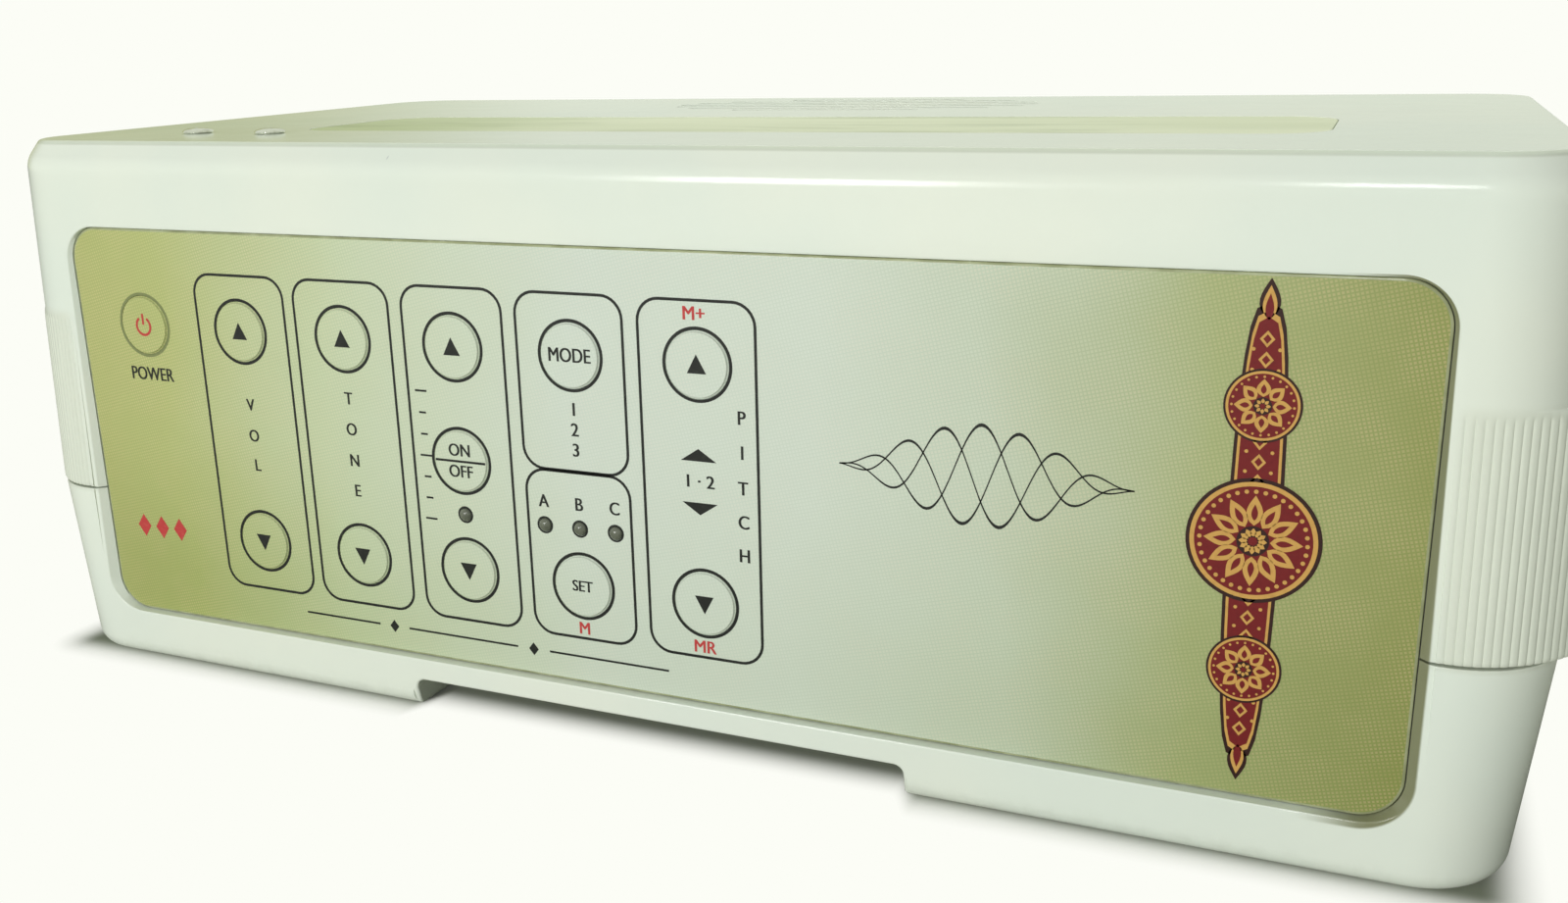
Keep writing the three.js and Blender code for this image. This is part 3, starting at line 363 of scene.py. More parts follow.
def ink(name, colour, worn):
    nodes = Finish(name)
    patches = nodes.noise(1.3, 3, 0.6)
    toned = nodes.blend(patches.between(0.45, 0.8) * 0.35, colour, worn)
    return nodes.close(toned, 0.4 + patches * 0.15, patches, 0.004)


stripLook = {
    "film": paint(180, 192, 146),
    "pale": paint(223, 229, 198),
    "paleFrom": (-65, -20),
    "smear": paint(126, 140, 94),
    "smearUntil": (56, 72),
}


def stripFilm(name, look):
    nodes = Finish(name)
    stretched = nodes.mapped(Scale=(0.22, 1.0, 1.0))
    wave = nodes.noise(0.09, 4, 0.6, stretched)
    cloud = nodes.noise(0.05, 2, place=stretched)
    fine = nodes.noise(1.4, 3, 0.6)
    x, y, z = nodes.axes(nodes.place)
    right = x.between(*look["paleFrom"])
    share = cloud.between(0.35, 0.65) * 0.25 + right * 0.75
    colour = nodes.blend(share, look["film"], look["pale"])
    ending = 1 - x.between(*look["smearUntil"]) * 0.85
    smear = wave.between(0.45, 0.68) * (0.55 - right * 0.17) * ending
    colour = nodes.blend(smear, colour, look["smear"])
    return nodes.close(colour, 0.28 + fine * 0.15, fine, 0.006)


def clearRim(name, colour, pale):  # the film's rounded, unprinted edge
    nodes = Finish(name)
    cloud = nodes.noise(0.3, 3)
    toned = nodes.blend(cloud.between(0.3, 0.7), colour, pale)
    rough = 0.22 + cloud * 0.08
    return nodes.close(toned, rough, cloud, 0.004, Coat_Weight=0.3, Coat_Roughness=0.1)


def lacquer(name, colour, worn):
    nodes = Finish(name)
    cloud = nodes.noise(0.7, 3, 0.6)
    fine = nodes.noise(3, 2)
    toned = nodes.blend(cloud.between(0.45, 0.75) * 0.5, colour, worn)
    return nodes.close(toned, 0.07 + fine * 0.06, fine, 0.004, Metallic=0.75, Coat_Weight=0.5)


def tintedLens(name, colour, pale):
    nodes = Finish(name)
    cloud = nodes.noise(0.8, 2)
    toned = nodes.blend(cloud, colour, pale)
    rough = 0.1 + cloud * 0.06
    return nodes.close(toned, rough, cloud, 0.003, Coat_Weight=0.8, Coat_Roughness=0.04)


def drawnMetal(name, colour, dull, rough):
    nodes = Finish(name)
    drawn = nodes.mapped(Scale=(1, 1, 12))
    lines = nodes.noise(1.1, 4, 0.7, drawn)
    stain = nodes.noise(0.25, 3, 0.6)
    toned = nodes.blend(stain.between(0.4, 0.75) * 0.6, colour, dull)
    return nodes.close(toned, rough + lines * 0.16, lines, 0.004, Metallic=1.0)


boardLook = {
    "mask": paint(24, 92, 52),
    "trace": paint(46, 128, 72),
    "pad": paint(196, 178, 120),
    "pitch": 2.54,
}


def circuitBoard(name, look):
    nodes = Finish(name)
    x, y, z = nodes.axes(nodes.place)
    turn = 2 * math.pi / look["pitch"]
    values = {"Vector": nodes.place, "Scale": 0.11}
    cells = nodes.add("ShaderNodeTexVoronoi", {"distance": "MANHATTAN"}, values)
    traces = (cells * 26).sine().between(0.55, 0.8)
    colour = nodes.blend(traces * 0.8, look["mask"], look["trace"])
    flat = y * turn + z * turn
    pads = ((x * turn).sine() * flat.sine()).between(0.88, 0.95)
    spread = nodes.noise(0.12, 1).between(0.5, 0.52)
    colour = nodes.blend(pads * spread, colour, look["pad"])
    fine = nodes.noise(3, 2)
    return nodes.close(colour, 0.35 + fine * 0.15, traces * 0.6 + pads, 0.03)


def mouldedBlack(name, colour, worn, grainScale=4.0):
    nodes = Finish(name)
    grain = nodes.noise(grainScale, 4, 0.65)
    dust = nodes.noise(0.4, 3, 0.6).between(0.55, 0.8)
    toned = nodes.blend(dust * 0.4 + grain * 0.15, colour, worn)
    return nodes.close(toned, 0.45 + grain * 0.2, grain, 0.02)


cableLook = {
    "groove": paint(120, 124, 128),
    "core": paint(172, 176, 178),
    "first": paint(176, 44, 40),
    "firstAt": -84.7,
    "pitch": 1.27,
}


def flatCable(name, look):
    nodes = Finish(name)
    x, y, z = nodes.axes(nodes.place)
    cores = (x * (2 * math.pi / look["pitch"])).sine()
    colour = nodes.blend(cores.between(-0.4, 0.9), look["groove"], look["core"])
    first = 1 - abs(x - look["firstAt"]).between(0.4, 0.6)
    colour = nodes.blend(first, colour, look["first"])
    fine = nodes.noise(2, 2)
    return nodes.close(colour, 0.45 + fine * 0.1, cores, 0.15)


def paperCone(name, colour, pale):
    nodes = Finish(name)
    fibre = nodes.noise(1.2, 5, 0.75)
    toned = nodes.blend(fibre.between(0.3, 0.8), colour, pale)
    return nodes.close(toned, 0.75 + fibre * 0.2, fibre, 0.05)


jacketLook = {
    "blue": paint(34, 66, 124),
    "silver": paint(176, 182, 190),
    "scuff": paint(150, 156, 170),
    "bandEvery": 50.3,
}


def cellJacket(name, look):
    nodes = Finish(name)
    x, y, z = nodes.axes(nodes.place)
    ripple = nodes.noise(0.2, 3)
    bands = (y * (2 * math.pi / look["bandEvery"])).sine().between(0.75, 0.8)
    colour = nodes.blend(bands, look["blue"], look["silver"])
    scuff = nodes.noise(0.9, 4, 0.7).between(0.62, 0.75)
    colour = nodes.blend(scuff * 0.35, colour, look["scuff"])
    return nodes.close(colour, 0.26 + ripple * 0.15, ripple, 0.03, Metallic=0.25)


shellWhite = shellPlastic("shellWhite", shellLook)
labelFilm = printedFilm("labelFilm", filmLook)
inkBlack = ink("inkBlack", paint(22, 24, 22), paint(58, 60, 52))
inkRed = ink("inkRed", paint(186, 58, 58), paint(204, 110, 98))
inkMaroon = ink("inkMaroon", paint(112, 22, 26), paint(74, 16, 20))
inkDark = ink("inkDark", paint(44, 18, 16), paint(66, 30, 22))
inkGold = ink("inkGold", paint(202, 158, 84), paint(160, 112, 56))
inkFaint = ink("inkFaint", paint(122, 130, 84), paint(146, 154, 104))
filmRim = clearRim("filmRim", paint(140, 146, 108), paint(166, 172, 136))
roofFilm = stripFilm("roofFilm", stripLook)
lampTint = tintedLens("lampTint", paint(74, 78, 66), paint(116, 120, 104))
zincSteel = drawnMetal("zincSteel", paint(196, 199, 200), paint(150, 152, 150), 0.22)
domeWhite = lacquer("domeWhite", paint(232, 234, 222), paint(168, 160, 142))
millAluminium = drawnMetal("millAluminium", paint(184, 188, 190), paint(148, 150, 152), 0.34)
brassContact = drawnMetal("brassContact", paint(196, 200, 202), paint(160, 150, 120), 0.25)
greenBoard = circuitBoard("greenBoard", boardLook)
chipBlack = mouldedBlack("chipBlack", paint(28, 28, 30), paint(62, 62, 64))
socketBlack = mouldedBlack("socketBlack", paint(22, 22, 23), paint(52, 52, 52), 2.0)
foamBlack = mouldedBlack("foamBlack", paint(24, 24, 26), paint(54, 54, 54), 1.2)
ferrite = mouldedBlack("ferrite", paint(54, 54, 58), paint(92, 92, 96), 1.5)
plateGrey = mouldedBlack("plateGrey", paint(140, 144, 138), paint(168, 170, 164), 1.0)
leadRed = mouldedBlack("leadRed", paint(140, 30, 26), paint(172, 80, 70), 1.0)
greyCable = flatCable("greyCable", cableLook)
coneBlack = paperCone("coneBlack", paint(30, 28, 26), paint(66, 62, 56))
jacketBlue = cellJacket("jacketBlue", jacketLook)
print("finishes:", len(bpy.data.materials))


# Outlines


def circlePoints(x, y, radius, sides=48):
    turns = [2 * math.pi * i / sides for i in range(sides)]
    return [(x + radius * math.cos(a), y + radius * math.sin(a)) for a in turns]


def roundedRect(halfWidth, halfHeight, radius, steps=8, centre=(0, 0)):
    points = []
    for turn, (sideX, sideY) in enumerate(((1, 1), (-1, 1), (-1, -1), (1, -1))):
        for step in range(steps + 1):
            angle = (turn + step / steps) * math.pi / 2
            x = sideX * (halfWidth - radius) + radius * math.cos(angle)
            y = sideY * (halfHeight - radius) + radius * math.sin(angle)
            points.append((centre[0] + x, centre[1] + y))
    return points


def filleted(points, radii, steps):  # a polyline whose inner corners are rounded
    made = [points[0]]
    for before, corner, after, radius in zip(points, points[1:], points[2:], radii):
        p = Vector(corner)
        u = (Vector(before) - p).normalized()
        v = (Vector(after) - p).normalized()
        half = u.angle(v) / 2
        centre = p + (u + v).normalized() * (radius / math.sin(half))
        reach = radius / math.tan(half)
        start = p + u * reach - centre
        end = p + v * reach - centre
        first = math.atan2(start.y, start.x)
        sweep = (math.atan2(end.y, end.x) - first + math.pi) % (2 * math.pi) - math.pi
        for step in range(steps + 1):
            angle = first + sweep * step / steps
            x = centre.x + radius * math.cos(angle)
            made.append((x, centre.y + radius * math.sin(angle)))
    return made + [points[-1]]


def quarter(steps):  # cosine and sine along a quarter turn, from its start to its end
    turns = [math.pi / 2 * step / steps for step in range(steps + 1)]
    return [(math.cos(a), math.sin(a)) for a in turns]


# Meshes

upright = Matrix.Identity(3)
facing = Matrix(((1, 0, 0), (0, 0, -1), (0, 1, 0)))  # drawn X, Y, up become X, Z, forward
lying = Matrix(((1, 0, 0), (0, 0, 1), (0, -1, 0)))  # up becomes backward


def linked(name, data):
    made = bpy.data.objects.new(name, data)
    scene.collection.objects.link(made)
    return made


def newObject(name, verts, faces):
    data = bpy.data.meshes.new(name)
    data.from_pydata([tuple(c * mm for c in v) for v in verts], [], faces)
    return linked(name, data)


def tidyMesh(obj, merge=0.0005):
    work = bmesh.new()
    work.from_mesh(obj.data)
    bmesh.ops.remove_doubles(work, verts=work.verts, dist=merge * mm)
    bmesh.ops.dissolve_degenerate(work, edges=work.edges, dist=merge * mm)
    bmesh.ops.recalc_face_normals(work, faces=work.faces)
    work.to_mesh(obj.data)
    work.free()
    return obj


def wallFaces(rings, closed=False):  # between neighbouring rings of equally many points
    size = len(rings[0])
    faces = []
    for row in range(len(rings) if closed else len(rings) - 1):
        low, top = row * size, (row + 1) % len(rings) * size
        for i in range(size):
            j = (i + 1) % size
            faces.append((low + i, low + j, top + j, top + i))
    return faces


def loft(name, rings):  # a closed solid through rings
    size, verts = len(rings[0]), sum(rings, [])
    faces = wallFaces(rings)
    faces.append(tuple(reversed(range(size))))
    faces.append(tuple(range(len(verts) - size, len(verts))))
    return tidyMesh(newObject(name, verts, faces))


def hoop(name, rings):  # the same, but the last ring joins the first
    return tidyMesh(newObject(name, sum(rings, []), wallFaces(rings, True)))


def turned(name, profile, sides, place=(0, 0, 0), turn=upright, build=loft):
    rings = []
    for radius, height in profile:
        flat = [Vector((x, y, height)) for x, y in circlePoints(0, 0, radius, sides)]
        rings.append([tuple(turn @ point + Vector(place)) for point in flat])
    return build(name, rings)


def block(name, low, high):
    plan = ((low[0], low[1]), (high[0], low[1]), (high[0], high[1]), (low[0], high[1]))
    return loft(name, [[(x, y, z) for x, y in plan] for z in (low[2], high[2])])


def flatten(obj):  # modifiers, or a curve, into a plain mesh
    graph = bpy.context.evaluated_depsgraph_get()
    settings = {"preserve_all_data_layers": True, "depsgraph": graph}
    baked = bpy.data.meshes.new_from_object(obj.evaluated_get(graph), **settings)
    obj.modifiers.clear()
    if obj.type == "MESH":
        old = obj.data
        obj.data = baked
        bpy.data.meshes.remove(old)
        return obj
    name = obj.name
    bpy.data.objects.remove(obj)
    return linked(name, baked)


def carve(target, tool, operation="DIFFERENCE"):
    modifier = target.modifiers.new("carve", "BOOLEAN")
    modifier.operation = operation
    modifier.solver = "EXACT"
    modifier.object = tool
    flatten(target)
    bpy.data.objects.remove(tool)
    return target


def joined(name, objects):
    work = bmesh.new()
    materials = []
    for obj in objects:
        first = len(work.faces)
        work.from_mesh(obj.data)
        work.faces.ensure_lookup_table()
        own = list(obj.data.materials)
        for material in own:
            if material not in materials:
                materials.append(material)
        for face in work.faces[first:]:
            face.material_index = materials.index(own[face.material_index]) if own else 0
    data = bpy.data.meshes.new(name)
    work.to_mesh(data)
    work.free()
    for material in materials:
        data.materials.append(material)
    for obj in objects:
        bpy.data.objects.remove(obj)
    return linked(name, data)


def shifted(obj, x, y, z):
    obj.data.transform(Matrix.Translation((x * mm, y * mm, z * mm)))
    return obj


def stand(obj, turn, place):  # turns a drawn piece and moves it to its place
    obj.data.transform(Matrix.Translation(Vector(place) * mm) @ turn.to_4x4())
    return obj


def plate(name, outlines, thickness, edge=0.0):  # flat, with holes, its top at zero
    curve = bpy.data.curves.new(name, "CURVE")
    curve.dimensions = "2D"
    curve.fill_mode = "BOTH"
    curve.extrude = (thickness / 2 - edge) * mm
    curve.bevel_depth = edge * mm
    curve.bevel_resolution = 1
    curve.offset = -edge * mm
    for outline in outlines:
        spline = curve.splines.new("POLY")
        spline.points.add(len(outline) - 1)
        for point, (x, y) in zip(spline.points, outline):
            point.co = (x * mm, y * mm, 0, 1)
        spline.use_cyclic_u = True
    return tidyMesh(shifted(flatten(linked(name, curve)), 0, 0, -thickness / 2))


inkForm = {"thick": 0.03, "weight": 0.07, "lift": 0.004}  # weight makes letters bolder


def mark(name, *outlines, thickness=inkForm["thick"]):  # flat ink, its back at zero
    return shifted(plate(name, outlines, thickness), 0, 0, thickness)


def lettering(name, text, x, y, size, squeeze):  # centred on x, y
    curve = bpy.data.curves.new(name, "FONT")
    curve.body = text
    curve.size = size * mm
    curve.align_x = "CENTER"
    curve.align_y = "CENTER"
    curve.extrude = inkForm["thick"] / 2 * mm
    curve.resolution_u = 6
    made = flatten(linked(name, curve))
    made.data.transform(Matrix.Diagonal((squeeze, 1, 1, 1)))
    copies = []
    for side, lift in ((-1, 0), (1, inkForm["lift"])):  # two copies side by side
        copy = bpy.data.objects.new(name, made.data.copy())
        shifted(copy, x + side * inkForm["weight"], y, inkForm["thick"] / 2 + lift)
        copies.append(tidyMesh(copy, 0.0001))
    bpy.data.objects.remove(made)
    return joined(name, copies)


def coat(obj, material):
    obj.data.materials.clear()
    obj.data.materials.append(material)
    return obj


def ready(obj, body, slotName, *nodes, sharp=32, weighted=True):
    obj.data.shade_smooth()
    obj.data.set_sharp_from_angle(angle=math.radians(sharp))
    if weighted:
        obj.modifiers.new("weights", "WEIGHTED_NORMAL").keep_sharp = True
        flatten(obj)
    if nodes:
        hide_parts(*nodes)
    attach(obj, body)
    return obj


# Geometry node tools


def toolTree(name, sizes):  # a tree with a geometry input and named sizes
    tree = bpy.data.node_groups.new(name, "GeometryNodeTree")
    kinds = {float: "Float", int: "Int", bpy.types.Object: "Object", bpy.types.Material: "Material"}
    socket = tree.interface.new_socket
    socket("Geometry", in_out="INPUT", socket_type="NodeSocketGeometry")
    for label, kind in {**sizes, "Finish": bpy.types.Material}.items():
        socket(label, in_out="INPUT", socket_type="NodeSocket" + kinds[kind])
    socket("Geometry", in_out="OUTPUT", socket_type="NodeSocketGeometry")
    nodes = Nodes(tree)
    return tree, nodes, nodes.add("NodeGroupInput")


def field(nodes, kind, name):
    return nodes.add("GeometryNodeInputNamedAttribute", {"data_type": kind}, {"Name": name})


def placed(nodes, given, points, turn, **values):  # the given piece at every point
    source = {"Object": given.out("Piece")}
    piece = nodes.add("GeometryNodeObjectInfo", {"transform_space": "ORIGINAL"}, source)
    euler = nodes.add("FunctionNodeEulerToRotation", {}, {0: turn})
    wanted = {"Points": points, "Instance": piece.out("Geometry"), "Rotation": euler, **values}
    return nodes.add("GeometryNodeInstanceOnPoints", {}, wanted)


def closeTree(nodes, given, shape):
    shape = nodes.add("GeometryNodeRealizeInstances", {}, {"Geometry": shape})
    finish = {"Geometry": shape, "Material": given.out("Finish")}
    shape = nodes.add("GeometryNodeSetMaterial", {}, finish)
    nodes.add("NodeGroupOutput", {}, {"Geometry": shape})


def useTool(obj, tree, values):
    modifier = obj.modifiers.new("tool", "NODES")
    modifier.node_group = tree
    for item in tree.interface.items_tree:
        if item.item_type == "SOCKET" and item.in_out == "INPUT" and item.name in values:
            modifier[item.identifier] = values[item.name]
    return flatten(obj)


def repeatTree():
    tree, nodes, given = toolTree("repeatPiece", {"Piece": bpy.types.Object})
    turn = field(nodes, "FLOAT_VECTOR", "turn")
    size = field(nodes, "FLOAT", "size")
    closeTree(nodes, given, placed(nodes, given, given.out("Geometry"), turn, Scale=size))
    return tree


def ringTree():  # copies of a piece round a circle, each turned outwards
    sizes = {"Piece": bpy.types.Object, "Count": int, "Radius": float}
    tree, nodes, given = toolTree("ringOfPieces", sizes)
    count = given.out("Count")
    sizes = {"Vertices": count, "Radius": given.out("Radius")}
    circle = nodes.add("GeometryNodeMeshCircle", {}, sizes)
    angle = nodes.add("GeometryNodeInputIndex") * (2 * math.pi) / count
    turn = nodes.add("ShaderNodeCombineXYZ", {}, {"Z": angle})
    closeTree(nodes, given, placed(nodes, given, circle, turn))
    return tree


def reedingTree():  # upright reeds pressed into a wall, from its seam up to the grip's top
    sizes = dict.fromkeys(("Reed Pitch", "Reed Depth", "Grip Top", "Fade"), float)
    tree, nodes, given = toolTree("gripReeds", sizes)
    along = field(nodes, "FLOAT", "along")
    grip = field(nodes, "FLOAT", "grip")
    outward = field(nodes, "FLOAT_VECTOR", "outward")
    x, y, z = nodes.axes(nodes.add("GeometryNodeInputPosition"))
    share = (along / given.out("Reed Pitch")).math("FRACT") * 2 - 1
    bulge = (1 - share * share).atLeast(0).math("SQRT")
    top = given.out("Grip Top")
    height = 1 - z.between(top - given.out("Fade"), top)
    depth = (bulge - 1) * given.out("Reed Depth") * height * grip
    offset = nodes.add("ShaderNodeVectorMath", {"operation": "SCALE"}, {0: outward, "Scale": depth})
    moved = {"Geometry": given.out("Geometry"), "Offset": offset}
    closeTree(nodes, given, nodes.add("GeometryNodeSetPosition", {}, moved))
    return tree


repeatTool = repeatTree()
reedTool = reedingTree()
ringTool = ringTree()


def setFields(obj, kinds, rows):  # one row of values for each vertex
    for label, kind in kinds.items():
        obj.data.attributes.new(label, kind, "POINT")
    for place, (label, kind) in enumerate(kinds.items()):
        slot = "vector" if kind == "FLOAT_VECTOR" else "value"
        for entry, row in zip(obj.data.attributes[label].data, rows):
            setattr(entry, slot, row[place])


def repeated(name, piece, places, material, turns=None):  # one mesh with the piece at every place
    points = newObject(name, places, [])
    rows = [(turn, 1.0) for turn in turns or [(0, 0, 0)] * len(places)]
    setFields(points, {"turn": "FLOAT_VECTOR", "size": "FLOAT"}, rows)
    made = useTool(points, repeatTool, {"Piece": piece, "Finish": material})
    bpy.data.objects.remove(piece)
    return made


def ringOf(name, piece, count, radius, material):
    values = {"Piece": piece, "Count": count, "Radius": radius * mm, "Finish": material}
    made = useTool(newObject(name, [(0, 0, 0)], []), ringTool, values)
    bpy.data.objects.remove(piece)
    return made


# The case's two shells

flatX, flatY = case["halfWidth"] - case["corner"], case["halfDepth"] - case["corner"]
arcRun = math.pi / 2 * case["corner"]
planRuns = [flatX, arcRun, 2 * flatY, arcRun, 2 * flatX, arcRun, 2 * flatY, arcRun, flatX]
planTotal = sum(planRuns)  # once round, from the middle of the front
gripRun = planTotal / 2 - 2 * case["gripStart"]
reedCount = round(gripRun / case["reedPitch"])
reedPitch = gripRun / reedCount


def planAt(run):  # a point of the plan's edge and its outward direction
    a, b, r = flatX, flatY, case["corner"]
    corners = ((a, -b), (a, b), (-a, b), (-a, -b))
    starts = {0: (0, -b - r), 2: (a + r, -b), 4: (a, b + r), 6: (-a - r, b), 8: (-a, -b - r)}
    heading = -math.pi / 2
    for index, length in enumerate(planRuns):
        if run <= length or index == len(planRuns) - 1:
            break
        run -= length
        if index % 2:
            heading += math.pi / 2
    if index % 2:
        angle = heading + run / r
        x, y = corners[index // 2]
        return x + r * math.cos(angle), y + r * math.sin(angle), math.cos(angle), math.sin(angle)
    x, y = starts[index]
    nx, ny = math.cos(heading), math.sin(heading)
    return x - ny * run, y + nx * run, nx, ny


def planStations(reeded):  # (run, parts up to the next station, in a grip) round the plan
    plain, reedParts = 20, 6 if reeded else 1
    start = case["gripStart"]
    stations = []
    for side in (0, planTotal / 2):
        other = side + planTotal / 2 - start
        stations += [(side + start * i / plain, 1, False) for i in range(plain)]
        stations += [(side + start + reedPitch * i, reedParts, True) for i in range(reedCount)]
        stations += [(other + start * i / plain, 1, False) for i in range(plain)]
    return stations


def skin(name, rows, upper, reeded=False):
    # a closed block: rows of (height from the seam, inset, share of the grips, fine or not)
    stations = planStations(reeded)
    high, lean = (upperHigh, case["lean"]) if upper else (lowerHigh, case["baseLean"])
    rise = case["roofRise"] if upper else 0
    verts = []
    facts = []

    def addVert(run, inGrip, height, inset, proud):
        x, y, nx, ny = planAt(run % planTotal)
        out = case["gripProud"] * proud * nx ** 4 if reeded else 0
        share = height / high
        px = (x + nx * (out - inset)) * (1 - lean[0] * share / case["halfWidth"])
        py = (y - ny * inset) * (1 - lean[1] * share / case["halfDepth"])
        lift = rise * share * (py + case["halfDepth"]) / (2 * case["halfDepth"])
        verts.append((px, py, upperLow + height + lift if upper else lowerHigh - height))
        along = (run - case["gripStart"]) % (planTotal / 2)
        facts.append((along, 1.0 if inGrip else 0.0, (nx, ny, 0)))
        return len(verts) - 1

    rings = []  # for each row and station, the points up to the next station
    for height, inset, proud, fine in rows:
        ring = []
        for i, (run, parts, inGrip) in enumerate(stations):
            step = (stations[i + 1][0] if i + 1 < len(stations) else planTotal) - run
            parts = parts if fine else 1
            runs = [run + step * part / parts for part in range(parts)]
            ring.append([addVert(place, inGrip, height, inset, proud) for place in runs])
        rings.append(ring)
    faces = []
    for low, top in zip(rings, rings[1:]):
        for i in range(len(low)):
            j = (i + 1) % len(low)
            under = low[i] + [low[j][0]]
            over = top[i] + [top[j][0]]
            if len(under) == len(over):
                faces += zip(under, under[1:], over[1:], over)
            else:
                faces.append(tuple(under + over[::-1]))
    faces.append(tuple(reversed(sum(rings[0], []))))
    faces.append(tuple(sum(rings[-1], [])))
    made = newObject(name, verts, faces)
    setFields(made, {"along": "FLOAT", "grip": "FLOAT", "outward": "FLOAT_VECTOR"}, facts)
    return made


def shoulderRows(high, inset, steps):
    inward, drop = case["shoulder"]
    profile = [(0, drop + 4), (0, drop), (inward, 0), (inward + 4, 0)]
    rounded = filleted(profile, (5.0, 1.1), steps)[1:-1]
    return [(high - down - inset, across + inset, 0, False) for across, down in rounded]


def upperRows():
    top = case["gripTop"] - upperLow
    seamEdge = ((0, 0.34), (0.08, 0.14), (0.3, 0.02), (0.6, 0), (top * 0.5, 0))
    rows = [(height, inset, 1, True) for height, inset in seamEdge]
    for t in (0, 0.25, 0.45, 0.62, 0.77, 0.89, 0.97, 1):  # the grips' rounded top
        rows.append((top - case["gripRound"] * (1 - t), 0, math.sqrt(1 - t * t), True))
    rows += [(top + above, 0, 0, False) for above in (0.2, 9, 18, 24)]
    return rows + shoulderRows(upperHigh, 0, 7)


def upperInsideRows():
    wall = case["wall"]
    rows = [(height, wall, 0, False) for height in (-6, 20)]
    return rows + shoulderRows(upperHigh, wall, 2)


def lowerRows(inset):
    inward, drop = case["baseEdge"]
    rows = [(0, 0.34, 0, False), (0.08, 0.14, 0, False), (0.35, 0, 0, False)]
    if inset:
        rows = [(-6, inset, 0, False)]
    rows += [(height, inset, 0, False) for height in (9, 18)]
    for cosine, sine in quarter(3 if inset else 9):
        down = drop * (1 - sine)
        rows.append((lowerHigh - down - inset, inset + inward * (1 - cosine), 0, False))
    return rows


def frontWall(z):  # the front wall's outer face at a height
    if z >= case["seam"]:
        return -case["halfDepth"] + case["lean"][1] * (z - upperLow) / upperHigh
    inward, drop = case["baseEdge"]
    edge = 0
    if z < drop:
        edge = inward * (1 - math.sqrt(1 - min(1, max(0, (drop - z) / drop)) ** 2))
    return -case["halfDepth"] + case["baseLean"][1] * (lowerHigh - z) / lowerHigh + edge


def flare(radius, turnFrom, turnTo, steps=4):  # (growth, depth below the face) of a rounded mouth
    turns = [turnFrom + (turnTo - turnFrom) * step / steps for step in range(steps + 1)]
    return [(radius * (1 - math.sin(a)), radius * (1 - math.cos(a))) for a in turns]


def windowTool():  # cuts the film's seat and the sloping rim round it
    middleX, middleZ, halfW, halfH, radius = case["label"]
    face, back = case["labelY"], case["labelY"] + 0.6
    bend = case["edge"]
    tangent = bend * math.tan(math.radians(22.5))

    def seat(growth, depth):
        size = (halfW + growth, halfH + growth, radius + growth)
        return [(x, depth, z) for x, z in roundedRect(*size, 10, (middleX, middleZ))]

    def rim(degrees, extra=0.0, lift=0.0):
        angle = math.radians(degrees)
        points = []
        for x, z in roundedRect(halfW, halfH, radius, 10, (middleX, middleZ)):
            depth = face - frontWall(z)
            cx = max(middleX - halfW + radius, min(middleX + halfW - radius, x))
            cz = max(middleZ - halfH + radius, min(middleZ + halfH - radius, z))
            reach = math.hypot(x - cx, z - cz)
            steep = 1 - 0.75 * ((z - cz) / reach) ** 2  # the slope is steeper above and below
            growth = depth * steep + tangent - bend * math.sin(angle) + extra
            grown = (reach + growth) / reach
            nx, nz = cx + (x - cx) * grown, cz + (z - cz) * grown
            points.append((nx, frontWall(nz) + bend * (1 - math.cos(angle)) - lift, nz))
        return points

    rings = [seat(2.5, -54.0), seat(2.5, back), seat(0, back), seat(0, face)]
    rings += [rim(8 + 37 * step / 4) for step in range(4, -1, -1)]
    return loft("windowTool", rings + [rim(8, 0.5, 0.07), rim(8, 1.2, 4)])


roofTurn = math.atan2(case["roofRise"], 2 * case["halfDepth"])
roofFront = Matrix.Translation((0, -case["halfDepth"] * mm, case["frontHeight"] * mm))
roofFrame = roofFront @ Matrix.Rotation(roofTurn, 4, "X")
strip = {"middle": (6, 44), "half": (87, 17), "radius": 8, "thickness": 0.5}
strip.update({"setback": 0.05, "clear": 0.12, "mouth": 0.08, "edge": 0.08})
domes = {"x": (-95.85, -79.55), "y": 20, "shaft": 1.5, "head": 2.6, "rise": 1.0, "rim": 0.3}
domes["tip"] = (0.6, -7.5, -6.4)  # its radius, its end, where the shaft starts
domes["under"] = (0.25, 0.05)  # the head's underside: inset, height
domes["cross"] = (0.7, 1.3, 0.26)  # depth, reach, half width
domes["headings"] = [(0, 0, 0.5), (0, 0, 1.1)]


def onRoof(obj):  # drawn X and Y are along the roof, from the middle of its front edge
    obj.data.transform(roofFrame)
    return obj


def mouthTool(name, size, steps, centre, deep, bend):  # its mouth is rounded at the roof's face
    def outline(growth, z):
        return [(x, y, z) for x, y in roundedRect(*[s + growth for s in size], steps, centre)]

    rings = [outline(0, -deep)]
    for growth, depth in flare(bend, math.pi / 2, math.radians(10)):
        rings.append(outline(growth, -depth))
    rings += [outline(bend + 0.6, 0.1), outline(bend + 0.9, 4)]
    return onRoof(loft(name, rings))


def slotTool(row):
    offset = (row - (slots["count"] - 1) / 2) * slots["pitch"]
    half = slots["fieldWidth"] * math.sqrt(1 - (2 * offset / slots["fieldDepth"]) ** 2) / 2
    width = slots["width"] / 2
    centre = (0, slots["middle"] + offset)
    size = (half, width, width - 0.001)
    return mouthTool("slotTool", size, 8, centre, slots["deep"], slots["mouth"])


